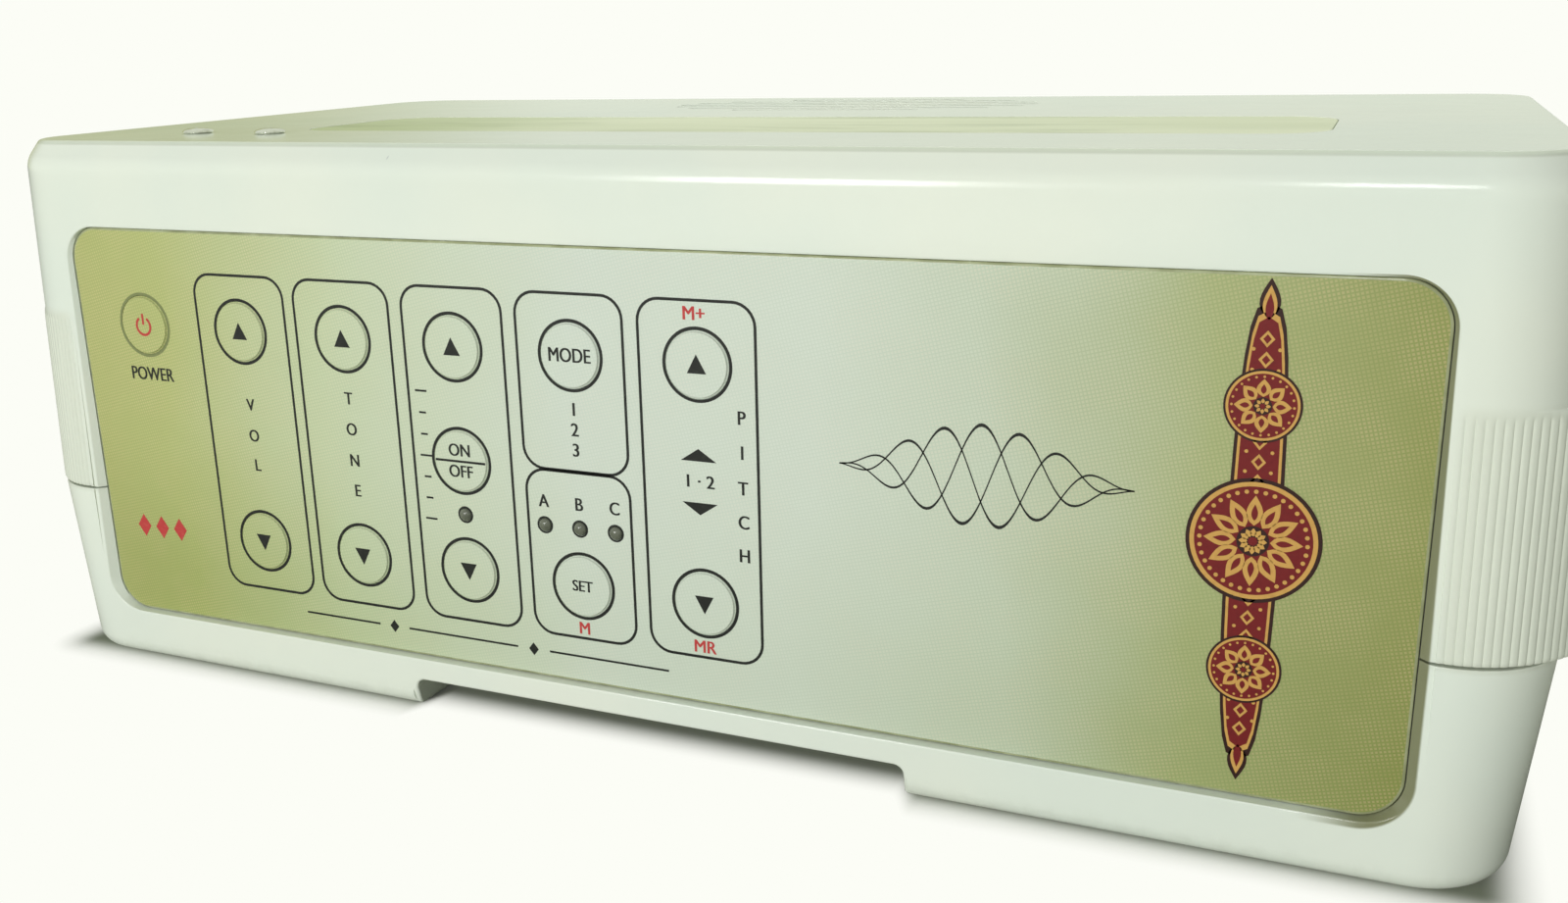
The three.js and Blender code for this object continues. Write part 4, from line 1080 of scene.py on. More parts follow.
def stripTool():
    size = [s + strip["clear"] for s in (*strip["half"], strip["radius"])]
    deep = strip["thickness"] + strip["setback"] + 0.3
    return mouthTool("stripTool", size, 10, strip["middle"], deep, strip["mouth"])


def rodTool(x, y, radius, low, high):
    return turned("rodTool", [(radius, low), (radius, high)], 32, (x, y, 0))


def backTool(x, z, radius):  # a socket's hole in the rear wall, with a rounded mouth
    rim = case["halfDepth"] - case["baseLean"][1]
    mouth = ((0, -0.4), (0.1, -0.12), (0.4, 0.05), (1, 4))
    profile = [(radius, 50)] + [(radius + growth, rim + depth) for growth, depth in mouth]
    return turned("backTool", profile, 40, (x, 0, z), lying)


screwNodes = numbered("case_screw", 4)
screwSpots = [nodeMiddle(node)[:2] for node in screwNodes]
speakerNodes = numbered("speaker_screw", 4)
speakerSpots = [(*nodeMiddle(node)[:2], nodeBox(node)[1].z) for node in speakerNodes]
sockets = [(*nodeMiddle(node)[::2], bore) for node, bore in (("dc_inlet", 4.3), ("line_out", 3.5))]
doorLow, doorHigh = nodeBox("battery_door")
bores = {"screw": 1.8, "dome": domes["shaft"] + 0.3, "boss": 4, "speakerBoss": 2.6, "post": 5}
bores["well"] = [(4.4, -3), (4.2, -0.03), (3.85, 0.3), (3.8, 18)]  # from below


def upperShell():
    outer = skin("upperShell", upperRows(), True, True)
    sizes = {"Reed Pitch": reedPitch, "Reed Depth": case["reedDepth"] * mm, "Finish": shellWhite}
    sizes.update({"Grip Top": (case["gripTop"] - 0.4) * mm, "Fade": 1.2 * mm})
    useTool(outer, reedTool, sizes)
    tidyMesh(outer, 0.00005)
    inside = tidyMesh(skin("inside", upperInsideRows(), True))
    for x, y in screwSpots:
        boss = [(bores["boss"], upperLow), (bores["boss"], 100)]
        carve(inside, turned("boss", boss, 24, (x, y, 0)))
    for x, y, z in speakerSpots:
        boss = [(bores["speakerBoss"], z - 4.2), (bores["speakerBoss"], 100)]
        carve(inside, turned("boss", boss, 20, (x, y, 0)))
    carve(outer, inside)
    carve(outer, windowTool())
    for row in range(slots["count"]):
        carve(outer, slotTool(row))
    carve(outer, stripTool())
    for x in domes["x"]:
        carve(outer, onRoof(rodTool(x, domes["y"], bores["dome"], -9, 3)))
    for x, y in screwSpots:
        carve(outer, rodTool(x, y, bores["screw"], 20, 46))
    for socket in sockets:
        carve(outer, backTool(*socket))
    return ready(coat(outer, shellWhite), "case", "shell_white", "upper_shell", sharp=30)


arch = {"half": 43.0, "height": 5.2, "corner": 1.5, "foot": 0.9}


def archTool():  # the raised arch between the two feet, rounded at both ends
    def outline(growth):
        foot, corner = arch["foot"], arch["corner"] + growth
        half, top = arch["half"] + growth, arch["height"] + growth
        side = [(half + foot + 0.8, -3), (half + foot + 0.8, -0.12)]
        for step in range(6):
            angle = math.radians(82) * (1 - step / 5)
            side.append((half + foot - foot * math.cos(angle), foot - foot * math.sin(angle)))
        for cosine, sine in quarter(5):
            side.append((half - corner + corner * cosine, top - corner + corner * sine))
        return side + [(-x, z) for x, z in reversed(side)]

    bend = case["edge"]
    ends = [(bend + 0.5, -4), (bend + 0.4, -0.08)] + flare(bend, math.radians(10), math.pi / 2)
    front = []
    for growth, depth in ends:
        front.append([(x, frontWall(max(z, 0)) + depth, z) for x, z in outline(growth)])
    back = [[(x, -y, z) for x, y, z in ring] for ring in reversed(front)]
    return loft("archTool", front + back)


bay = {  # the battery bay and the grooves of its door
    "half": 40.5,
    "rear": 57.33,
    "top": 34.3,
    "wall": 1.6,
    "bridge": 3.5,  # the floor's thick part past the door's sides
    "bridgeTop": 9.1,
    "gap": 0.3,
    "ledge": 1.5,
    "grooveTop": 7.5,
}
lip = {"inner": 4.0, "gap": 0.3, "pocket": 1.25, "low": 28.95, "high": 34}


def lipRing(outerInset, low, high):  # the rim that stands up inside the upper shell
    def plan(inset, z):
        half = (case["halfWidth"] - inset, case["halfDepth"] - inset)
        return [(x, y, z) for x, y in roundedRect(*half, case["corner"] - inset, 6)]

    made = loft("lip", [plan(outerInset, z) for z in (low, high)])
    return carve(made, loft("inside", [plan(lip["inner"], z) for z in (low - 3, high + 3)]))


def lowerShell():
    outer = tidyMesh(skin("lowerShell", lowerRows(0), False))
    inside = tidyMesh(skin("inside", lowerRows(case["wall"]), False))
    side = doorHigh.x + bay["gap"] + bay["bridge"]
    carve(inside, block("bridge", (-side, -80, -5), (side, 80, bay["bridgeTop"])))
    half, front, rear, wall = bay["half"], doorLow.y + bay["ledge"], bay["rear"], bay["wall"]
    low = (-half - wall, front - wall, 5)
    carve(inside, block("bay", low, (half + wall, rear + wall, bay["top"] + wall)))
    for x, y in screwSpots:
        carve(inside, turned("post", [(bores["post"], -5), (bores["post"], 60)], 28, (x, y, 0)))
    carve(inside, lipRing(lip["pocket"], lip["low"] - 0.05, lowerHigh - 0.02))
    carve(outer, inside)
    carve(outer, lipRing(case["wall"] + lip["gap"], lip["low"], lip["high"]), "UNION")
    carve(outer, block("bayRoom", (-half, front, -2), (half, rear, bay["top"])))
    low = (doorLow.x - bay["gap"], doorLow.y - bay["gap"], arch["height"] - bay["gap"])
    carve(outer, block("groove", low, (doorHigh.x + bay["gap"], 80, bay["grooveTop"])))
    carve(outer, archTool())
    carve(outer, windowTool())
    for x, y in screwSpots:
        carve(outer, turned("well", bores["well"], 36, (x, y, 0)))
        carve(outer, rodTool(x, y, bores["screw"], 10, 40))
    for socket in sockets:
        carve(outer, backTool(*socket))
    return ready(coat(outer, shellWhite), "case", "shell_white", "lower_shell", sharp=30)


upperShell()
print("upper shell done")
lowerShell()
print("lower shell done")


# The front panel's film, its print, keys and lamps

notKeys = ("key_board", "key_ribbon")
keyNodes = [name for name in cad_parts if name.startswith("key_") and name not in notKeys]
keyPlaces = {name: nodeMiddle(name)[::2] for name in keyNodes}
lampNodes = [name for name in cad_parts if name.startswith("lamp_")]
lampPlaces = {name: nodeMiddle(name)[::2] for name in lampNodes}
film = {
    "gap": 0.1,
    "thickness": 0.6,
    "rim": 0.4,
    "rimShape": ((0, 0.6), (0, 0.25), (0.06, 0.12), (0.18, 0.04), (0.41, 0), (0.41, 0.6)),
    "keyHole": 5.14,
    "ring": 0.48,
    "lampHole": 1.12,
    "lampRing": 0.3,
    "layer": 0.012,
}


def onLabel(obj, layer=0):  # a piece drawn in X and Z of the case, laid on the film
    return stand(obj, facing, (0, case["labelY"] - film["layer"] * layer, 0))


def panelFilm():
    middleX, middleZ, halfW, halfH, radius = case["label"]

    def outline(inset):
        return roundedRect(halfW - inset, halfH - inset, radius - inset, 12, (middleX, middleZ))

    gap = film["gap"]
    outlines = [outline(gap + film["rim"])]
    outlines += [circlePoints(x, z, film["keyHole"], 64) for x, z in keyPlaces.values()]
    outlines += [circlePoints(x, z, film["lampHole"], 32) for x, z in lampPlaces.values()]
    sheet = coat(plate("sheet", outlines, film["thickness"]), labelFilm)
    rings = [[(x, z, -depth) for x, z in outline(gap + inset)] for inset, depth in film["rimShape"]]
    made = onLabel(joined("panelFilm", [sheet, coat(hoop("rim", rings), filmRim)]))
    return ready(made, "case", "film", "panel_overlay", sharp=30)


groups = {
    "radius": 3.5,
    "line": 0.45,
    "boxes": (  # left, right, top, bottom
        (-82.6, -63.9, 72.0, 17.0),
        (-61.7, -42.9, 72.0, 17.0),
        (-40.3, -21.8, 72.0, 17.0),
        (-19.3, -0.9, 72.0, 44.5),
        (-19.3, -0.9, 44.3, 17.0),
        (1.7, 20.5, 72.0, 17.0),
    ),
}
words = {
    "columns": (  # letters, x, height of each
        ("VOL", -73.3, (50.0, 44.6, 39.4)),
        ("TONE", -52.4, (52.7, 47.5, 42.2, 37.0)),
        ("PITCH", 18.0, (55.1, 49.9, 44.5, 39.3, 34.1)),
        ("123", -9.9, (54.2, 51.0, 47.8)),
    ),
    "row": ("ABC", (-16.3, -10.0, -3.7), 39.1),
    "size": 2.95,
    "squeeze": 0.9,
    "digitSqueeze": 0.95,
    "power": ("POWER", -94.6, 53.9, 3.3, 0.84),
    "red": (("M+", 10.9, 70.0), ("MR", 10.9, 18.6), ("M", -10.2, 18.6)),
    "redSize": 2.9,
}
signs = {
    "lozenge": (-101.5, 25.6, 1.5, 2.1),  # x, z, half width, half height
    "lozengePitch": 4.2,
    "scale": (-37.9, 55.2, 3.55),  # x, top, pitch of the ticks
    "tick": (1.1, 0.65, 0.16),  # half lengths of the long and short ones, half thickness
    "arrowX": 10.9,
    "arrows": (48.1, 41.7),
    "arrow": (2.9, 0.95),
    "pair": (44.9, 2.8),
    "rules": ((-66.0, -50.5), (-44.5, -23.0), (-17.0, 4.5)),
    "ruleHeight": (13.56, 13.9),
    "rulePoints": (-47.5, -20.0),
    "rulePoint": (13.73, 0.9, 1.1),
}
wave = {"left": 33.0, "right": 74.0, "middle": 50.0, "tall": 7.2, "strands": 3, "steps": 96}
wave.update({"swings": 2.5, "thin": 0.09, "swell": 0.16})


def diamond(x, z, halfW, halfH):
    return [(x + halfW, z), (x, z + halfH), (x - halfW, z), (x, z - halfH)]


def bar(name, left, low, right, high):
    return mark(name, [(left, low), (right, low), (right, high), (left, high)])


def groupFrames():
    pieces = []
    half = groups["line"] / 2
    for left, right, top, bottom in groups["boxes"]:
        centre = ((left + right) / 2, (top + bottom) / 2)
        size = ((right - left) / 2, (top - bottom) / 2, groups["radius"])
        outer, inner = [roundedRect(*[s + grow for s in size], 8, centre) for grow in (half, -half)]
        pieces.append(mark("frameLine", outer, inner))
    return pieces


def ringMark(name, x, z, hole, width, sides):
    outer = circlePoints(x, z, hole + width, sides)
    return mark(name, outer, circlePoints(x, z, hole + 0.01, sides))


def ringMarks():
    pieces = []
    for name, (x, z) in keyPlaces.items():
        ring = ringMark("keyRing", x, z, film["keyHole"], film["ring"], 64)
        pieces.append(coat(ring, inkFaint if name == "key_power" else inkBlack))
    for x, z in lampPlaces.values():
        pieces.append(ringMark("lampRing", x, z, film["lampHole"], film["lampRing"], 32))
    return pieces


def wordMarks():
    pieces = [lettering("word", *words["power"])]
    for letters, x, heights in words["columns"]:
        squeeze = words["digitSqueeze"] if letters.isdigit() else words["squeeze"]
        for letter, z in zip(letters, heights):
            pieces.append(lettering("word", letter, x, z, words["size"], squeeze))
    letters, across, z = words["row"]
    for letter, x in zip(letters, across):
        pieces.append(lettering("word", letter, x, z, words["size"], words["squeeze"]))
    return pieces


def redMarks():
    size, squeeze = words["redSize"], words["digitSqueeze"]
    pieces = [lettering("redWord", *spot, size, squeeze) for spot in words["red"]]
    x, z, *half = signs["lozenge"]
    spots = [x + signs["lozengePitch"] * i for i in range(3)]
    return pieces + [mark("lozenge", diamond(spot, z, *half)) for spot in spots]


def levelScale():  # short ticks beside the on and off key
    x, top, pitch = signs["scale"]
    long, short, thick = signs["tick"]
    pieces = []
    for i in range(7):
        z, half = top - pitch * i, short if i % 3 else long
        pieces.append(bar("tick", x - half, z - thick, x + half, z + thick))
    return pieces


def styleArrows():
    x, (upper, lower), (wide, tall) = signs["arrowX"], signs["arrows"], signs["arrow"]
    up = mark("arrow", [(x - wide, upper), (x + wide, upper), (x, upper + 2 * tall)])
    down = mark("arrow", [(x - wide, lower), (x, lower - 2 * tall), (x + wide, lower)])
    return [up, down, lettering("pair", "1 · 2", x, *signs["pair"], 1.0)]


def footRule():  # a thin rule under the groups, broken by two lozenges
    low, high = signs["ruleHeight"]
    z, *half = signs["rulePoint"]
    pieces = [bar("rule", left, low, right, high) for left, right in signs["rules"]]
    return pieces + [mark("rulePoint", diamond(x, z, *half)) for x in signs["rulePoints"]]


def waveStrand(strand):  # a swelling wave, thicker in its middle
    over, under = [], []
    for i in range(wave["steps"] + 1):
        t = i / wave["steps"]
        x = wave["left"] + (wave["right"] - wave["left"]) * t
        swell = math.sin(math.pi * t) ** 1.5
        phase = 2 * math.pi * (wave["swings"] * t) + strand * 2 * math.pi / wave["strands"]
        z = wave["middle"] + wave["tall"] * swell * math.sin(phase)
        half = wave["thin"] + wave["swell"] * swell
        over.append((x, z + half))
        under.append((x, z - half))
    return mark("strand", over + under[::-1])


def blackPrint():
    pieces = groupFrames() + ringMarks() + wordMarks() + levelScale() + styleArrows() + footRule()
    pieces += [waveStrand(i) for i in range(wave["strands"])]
    for piece in pieces:
        if not piece.data.materials:
            coat(piece, inkBlack)
    return ready(onLabel(joined("panelPrint", pieces)), "case", "film", weighted=False)


def redPrint():
    pieces = [coat(piece, inkRed) for piece in redMarks()]
    return ready(onLabel(joined("panelPrintRed", pieces)), "case", "film", weighted=False)


ornament = {
    "middle": (89.0, 45.0),
    "band": (3.3, 30.5),
    "bandLayers": ((0, inkDark), (0.45, inkGold), (0.8, inkMaroon)),  # inset, ink
    "medallions": ((0, 8.3, 12), (17.6, 4.7, 8), (-17.6, 4.7, 8)),  # height, radius, petals
    "discs": ((1, inkDark), (0.94, inkGold), (0.87, inkMaroon)),  # share of the radius, ink
    "pointed": 2.2,  # how much more a layer steps in at the band's points
    "lattice": 2.6,
    "latticeLift": 0.06,
    "latticeShare": 0.86,  # of the band's height
    "lozenges": ((0.9, 1.05), (0.5, 0.6)),  # the outer and the inner one's half sizes
    "bead": (0.24, 8),
    "beadAway": 1.55,
    "drop": ((5.2, 2.5, inkDark), (4.3, 1.7, inkGold), (3.3, 1.0, inkMaroon)),  # length, width, ink
    "dropOverlap": 2.2,
    "layer": 0.02,
}


def raised(obj, layers):
    return shifted(obj, 0, 0, ornament["layer"] * layers)


def pointedOval(halfW, halfH, steps=14):
    turns = [math.pi * i / steps for i in range(steps + 1)]
    side = [(halfW * math.sin(a) ** 0.55, halfH * math.cos(a)) for a in turns]
    return side + [(-x, z) for x, z in reversed(side[1:-1])]


def petal(length, width, steps=8):
    shares = [i / steps for i in range(steps + 1)]
    side = [(length * t, width / 2 * math.sin(math.pi * t ** 0.8)) for t in shares]
    return side + [(x, -y) for x, y in reversed(side[1:-1])]


def medallion(height, radius, petals):
    width = 2.9 / petals

    def disc(share, colour, layer, sides):
        return raised(coat(mark("disc", circlePoints(0, 0, radius * share, sides)), colour), layer)

    def petalRing(length, wide, away, colour, layer):  # shares of the radius
        piece = mark("petal", petal(radius * length, radius * wide))
        return raised(ringOf("petals", piece, petals, radius * away, colour), layer)

    pieces = [disc(share, colour, i + 3, 56) for i, (share, colour) in enumerate(ornament["discs"])]
    bead = mark("bead", circlePoints(0, 0, radius * 0.035, 8))
    pieces.append(raised(ringOf("beads", bead, petals * 3, radius * 0.79, inkGold), 6))
    pieces.append(petalRing(0.48, width, 0.25, inkGold, 6))
    pieces.append(petalRing(0.26, width * 0.4, 0.33, inkMaroon, 7))
    pieces.append(disc(0.24, inkDark, 7, 32))
    pieces.append(petalRing(0.13, 0.09, 0.08, inkGold, 8))
    pieces.append(disc(0.07, inkMaroon, 9, 16))
    return shifted(joined("medallion", pieces), 0, height, 0)


def ornamentBand():
    halfW, halfH = ornament["band"]
    pieces = []
    for i, (inset, colour) in enumerate(ornament["bandLayers"]):
        outline = pointedOval(halfW - inset, halfH - inset * ornament["pointed"])
        pieces.append(raised(coat(mark("band", outline), colour), i))
    pitch, lift = ornament["lattice"], ornament["latticeLift"]
    steps = int(halfH * ornament["latticeShare"] / pitch)
    spots = [(0, pitch * i, lift) for i in range(-steps, steps + 1)]
    lozenge = mark("lozenge", *[diamond(0, 0, *half) for half in ornament["lozenges"]])
    pieces.append(repeated("lattice", lozenge, spots, inkGold))
    rows = [pitch * (i + 0.5) for i in range(-steps, steps)]
    spots = [(side * ornament["beadAway"], z, lift) for z in rows for side in (-1, 1)]
    bead = mark("bead", circlePoints(0, 0, *ornament["bead"]))
    return pieces + [repeated("latticeBeads", bead, spots, inkGold)]


def finial(sign):  # a drop at the end of the band
    pieces = []
    for layer, (length, width, colour) in enumerate(ornament["drop"]):
        piece = raised(coat(mark("drop", petal(length, width)), colour), layer)
        piece.data.transform(Matrix.Rotation(math.pi / 2 * sign, 4, "Z"))
        pieces.append(piece)
    end = ornament["band"][1] - ornament["dropOverlap"]
    return shifted(joined("finial", pieces), 0, sign * end, 0)


def panelOrnament():
    pieces = ornamentBand() + [medallion(*facts) for facts in ornament["medallions"]]
    pieces += [finial(1), finial(-1)]
    made = shifted(joined("panelOrnament", pieces), *ornament["middle"], 0)
    return ready(onLabel(made, 2), "case", "film", weighted=False)


keyForm = {"radius": 5.06, "plateau": 4.75, "rise": 0.3, "foot": 4.98, "stem": 1.5, "deep": 0.6}
keySigns = {
    "triangle": ((-1.55, -1.25), (1.55, -1.25), (0, 1.6)),
    "powerRing": (1.3, 1.75, -0.15),  # inner and outer radius, height of its middle
    "powerGap": 32,
    "powerBar": (-0.22, 0.1, 0.22, 2.0),
    "divider": (-4.7, -0.19, 4.7, 0.19),
    "onOff": (1.75, 2.9, 0.9),  # height of the upper word, size, squeeze
    "mode": (3.1, 0.84),
    "set": (2.6, 0.9),
}


def keyProfile(steps=8):
    back = nodeBox("key_power")[1].y - case["labelY"]
    radius, stem, deep = keyForm["radius"], keyForm["stem"], keyForm["deep"]
    profile = [(0.0, -back), (stem, -back), (stem, -deep), (radius, -deep), (radius, 0)]
    for step in range(steps + 1):
        t = step / steps
        across = keyForm["foot"] + (keyForm["plateau"] - keyForm["foot"]) * t
        profile.append((across, keyForm["rise"] * (t * t * (3 - 2 * t))))
    return profile + [(0, keyForm["rise"])]


def powerMarks():
    gap = math.radians(keySigns["powerGap"])
    inner, outer, middle = keySigns["powerRing"]
    turns = [math.pi / 2 + gap + (2 * math.pi - 2 * gap) * i / 24 for i in range(25)]
    arc = [(outer * math.cos(a), outer * math.sin(a) + middle) for a in turns]
    arc += [(inner * math.cos(a), inner * math.sin(a) + middle) for a in reversed(turns)]
    return [mark("powerArc", arc), bar("powerBar", *keySigns["powerBar"])]


def keyMarks(name):
    if name == "key_power":
        return powerMarks()
    if name == "key_fifth_on_off":
        height, *form = keySigns["onOff"]
        pair = [lettering("on", "ON", 0, height, *form), lettering("off", "OFF", 0, -height, *form)]
        return [bar("divider", *keySigns["divider"])] + pair
    if name == "key_mode":
        return [lettering("mode", "MODE", 0, 0, *keySigns["mode"])]
    if name == "key_note":
        return [lettering("set", "SET", 0, 0, *keySigns["set"])]
    turn = -1 if name.endswith("down") else 1
    return [mark("triangle", [(x, z * turn) for x, z in keySigns["triangle"]][::turn])]


def makeKey(name):
    x, z = keyPlaces[name]
    pieces = [coat(turned(name + "Disc", keyProfile(), 64), labelFilm)]
    colour = inkRed if name == "key_power" else inkBlack
    for piece in keyMarks(name):
        pieces.append(coat(shifted(piece, 0, 0, keyForm["rise"] - 0.005), colour))
    made = stand(joined(name + "Cap", pieces), facing, (x, case["labelY"], z))
    return ready(made, name, "key_film", name, sharp=40)


lamp = {"gap": 0.04, "flange": 0.35, "flangeHigh": 1, "set": 0.1, "dome": 0.75}


def makeLamps():
    back = nodeBox("lamp_fifth")[1].y - case["labelY"]
    radius = film["lampHole"] - lamp["gap"]
    flange, top = radius + lamp["flange"], -back + lamp["flangeHigh"]
    profile = [(0, -back), (flange, -back), (flange, top), (radius, top)]
    for cosine, sine in quarter(8):
        profile.append((radius * cosine, -lamp["set"] + lamp["dome"] * sine))
    lens = turned("lens", profile, 32)
    lens.data.transform(facing.to_4x4())
    places = [(x, case["labelY"], z) for x, z in lampPlaces.values()]
    made = repeated("lamps", lens, places, lampTint)
    return ready(made, "case", "lamp", *lampPlaces, sharp=40)


panelFilm()
blackPrint()
redPrint()
panelOrnament()
for keyName in keyPlaces:
    makeKey(keyName)
makeLamps()
print("front panel done:", len(keyPlaces), "keys")


# The roof's strip and its two domed screws


def roofStrip():
    outline = roundedRect(*strip["half"], strip["radius"], 12, strip["middle"])
    made = plate("roofStripFilm", [outline], strip["thickness"], strip["edge"])
    shifted(made, 0, 0, -strip["setback"])
    return ready(onRoof(coat(made, roofFilm)), "case", "film", "roof_strip")


def crossRecess(depth, reach, width, height):  # a cross-shaped cutter that narrows downwards
    arms = []
    for turn in range(2):
        rings = []
        for z, share in ((height + 1, 1.0), (height, 1.0), (height - depth, 0.45)):
            half, thick = reach * share, width * (0.5 + share / 2)
            corners = ((half, thick), (-half, thick), (-half, -thick), (half, -thick))
            rings.append([(-y, x, z) if turn else (x, y, z) for x, y in corners])
        arms.append(loft("arm", rings))
    return carve(*arms, "UNION")


def domedScrews():
    head, rise, shaft, rim = [domes[fact] for fact in ("head", "rise", "shaft", "rim")]
    (tip, end, start), (inset, under) = domes["tip"], domes["under"]
    profile = [(0, end), (tip, end), (shaft, start), (shaft, under), (head - inset, under)]
    profile += [(head * cosine, rim + (rise - rim) * sine) for cosine, sine in quarter(12)]
    screw = turned("domedScrew", profile, 48)
    carve(screw, crossRecess(*domes["cross"], rise))
    places = [(x, domes["y"], 0) for x in domes["x"]]
    made = onRoof(repeated("roofScrews", screw, places, domeWhite, domes["headings"]))
    return ready(made, "case", "shell_white", "roof_screw_1", "roof_screw_2", sharp=40)


roofStrip()
domedScrews()
print("roof done")


# Underside and back

caseScrew = {"rise": 2.4, "shaft": 1.5, "thread": 0.32, "turns": 12}
caseScrew["headShape"] = ((0, 0), (1.6, 0.12), (2.6, 0.6), (3.2, 1.5))
caseScrew["cross"] = (1.4, 1.8, 0.34)
caseScrew["headings"] = [(0, 0, a) for a in (0.3, 1.2, 0.8, 0.1)]


def caseScrews():
    shaft, turns = caseScrew["shaft"], caseScrew["turns"]
    low, high = [corner.z for corner in nodeBox("case_screw_1")]
    seat = low + caseScrew["rise"]
    profile = [(across, low + height) for across, height in caseScrew["headShape"]]
    profile += [(profile[-1][0], seat), (shaft, seat + 0.1)]
    length = high - seat - 2.2
    for i in range(turns * 2):
        root = caseScrew["thread"] if i % 2 else 0
        profile.append((shaft - root, seat + 0.8 + length * i / (turns * 2)))
    screw = turned("caseScrew", profile + [(shaft * 0.6, high - 1.2), (0, high)], 32)
    cross = crossRecess(*caseScrew["cross"], 0)
    cross.data.transform(Matrix.Translation((0, 0, low * mm)) @ Matrix.Rotation(math.pi, 4, "X"))
    carve(screw, cross)
    places = [(x, y, 0) for x, y in screwSpots]
    made = repeated("caseScrews", screw, places, zincSteel, caseScrew["headings"])
    return ready(made, "case", "steel", *screwNodes, sharp=40)


door = {
    "thickness": 1.8,
    "corner": 1.2,
    "edge": 0.25,
    "ridges": 3,
    "ridgePitch": 3,
    "ridgeInset": 6,
    "ridgeWidth": 1.2,
    "ridgeLength": 30,
    "ridgeShape": ((0, -0.4), (0, 0), (-0.05, 0.35), (-0.2, 0.6), (-0.42, 0.7)),  # growth, height
    "arrow": (2.6, 4.5, 24),  # half width, length, distance from the rear
}


def batteryDoor():
    top, rear = doorHigh.z, doorHigh.y
    low = top - door["thickness"]
    size = (doorHigh.x, (rear - doorLow.y) / 2, door["corner"])
    outline = roundedRect(*size, 6, (0, (doorLow.y + rear) / 2))
    slab = shifted(plate("doorSlab", [outline], door["thickness"], door["edge"]), 0, 0, top)
    half, length = door["ridgeWidth"] / 2, door["ridgeLength"] / 2
    rings = []
    for grow, height in door["ridgeShape"]:
        plan = roundedRect(length + grow, half + grow, half + grow - 0.01, 6)
        rings.append([(x, y, low - height) for x, y in plan])
    first = rear - door["ridgeInset"]
    places = [(0, first - door["ridgePitch"] * i - half, 0) for i in range(door["ridges"])]
    ridges = repeated("ridges", loft("ridge", rings), places, shellWhite)
    wide, long, inset = door["arrow"]
    y = rear - inset
    arrow = mark("arrow", [(-wide, y), (wide, y), (0, y + long)], thickness=0.3)
    shifted(arrow, 0, 0, low - 0.2)
    made = joined("batteryDoor", [coat(slab, shellWhite), ridges, coat(arrow, shellWhite)])
    return ready(made, "battery_door", "shell_white", "battery_door", sharp=35)


inlet = {"name": "dcInlet", "node": "dc_inlet", "barrel": 4.0, "bore": 3.1, "body": 13, "pin": 1.0}
output = {"name": "lineOut", "node": "line_out", "barrel": 3.2, "bore": 1.8, "body": 12, "pin": 0}


def rearSocket(form, deep=9):
    low, high = nodeBox(form["node"])
    x, z = nodeMiddle(form["node"])[::2]
    mouth, barrel, bore, pin = high.y, form["barrel"], form["bore"], form["pin"]
    body = block("body", low, (high.x, low.y + form["body"], high.z))
    bevel = body.modifiers.new("edge", "BEVEL")
    bevel.width = 0.35 * mm
    bevel.segments = 2
    flatten(body)
    start, floor = low.y + form["body"] / 2, mouth - deep
    profile = [(0, start), (barrel, start), (barrel, mouth - 0.3), (barrel - 0.3, mouth)]
    profile += [(bore + 0.35, mouth), (bore, mouth - 0.35), (bore, floor), (0, floor)]
    sleeve = turned("sleeve", profile, 48, (x, 0, z), lying)
    if pin:
        tip = mouth - 1.2
        steps = [(0, floor - 0.5), (pin, floor - 0.5), (pin, mouth - 1.6)]
        steps += [(pin * 0.6, tip), (0, tip)]
        metal = turned("pin", steps, 24, (x, 0, z), lying)
    else:
        steps = ((0.1, -1.0), (0.9, -1.0), (0.9, 0.03), (0.4, 0.03), (0.1, -0.2))
        rim = [(bore + out, mouth + up) for out, up in steps]
        metal = turned("rim", rim, 48, (x, 0, z), lying, hoop)
    pieces = [coat(body, socketBlack), coat(sleeve, socketBlack), coat(metal, zincSteel)]
    return ready(joined(form["name"], pieces), "case", "socket", form["node"], sharp=35)


caseScrews()
batteryDoor()
rearSocket(inlet)
rearSocket(output)
print("underside and back done")


# Pieces inside the case

cellShape = {  # radii and heights; those past the first two lists are from the rim and the top
    "foot": ((0, 0.25), (8.2, 0.25), (8.6, 0)),
    "footRim": ((1.5, 0), (1.2, 0.5), (0.35, 0.5), (0, 0.9), (0, 1.4), (0.12, 1.9), (0, 2.4)),
    "topRim": ((0, 3.6), (0.3, 2.4), (1.3, 1.9), (2.2, 2.1)),
    "nub": ((4.6, 2.1), (3.6, 1.7), (3.3, 0.4), (2.6, 0), (0, 0)),
}


def cells():
    nodes = numbered("cell", 6)
    low, high = nodeBox(nodes[0])
    radius = (high.x - low.x) / 2
    length = high.y - low.y
    profile = list(cellShape["foot"])
    profile += [(radius - inset, height) for inset, height in cellShape["footRim"]]
    profile += [(radius - inset, length - down) for inset, down in cellShape["topRim"]]
    profile += [(across, length - down) for across, down in cellShape["nub"]]
    cell = turned("cell", profile, 56, turn=lying)
    places = []
    for node in nodes:
        x, z = nodeMiddle(node)[::2]
        places.append((x, nodeBox(node)[0].y, z))
    made = repeated("cells", cell, places, jacketBlue)
    made.data.materials.append(zincSteel)
    for face in made.data.polygons:
        if abs(face.normal.y) > 0.75:  # the bare ends
            face.material_index = len(made.data.materials) - 1
    return ready(made, "case", "cell_jacket", *nodes, sharp=40)


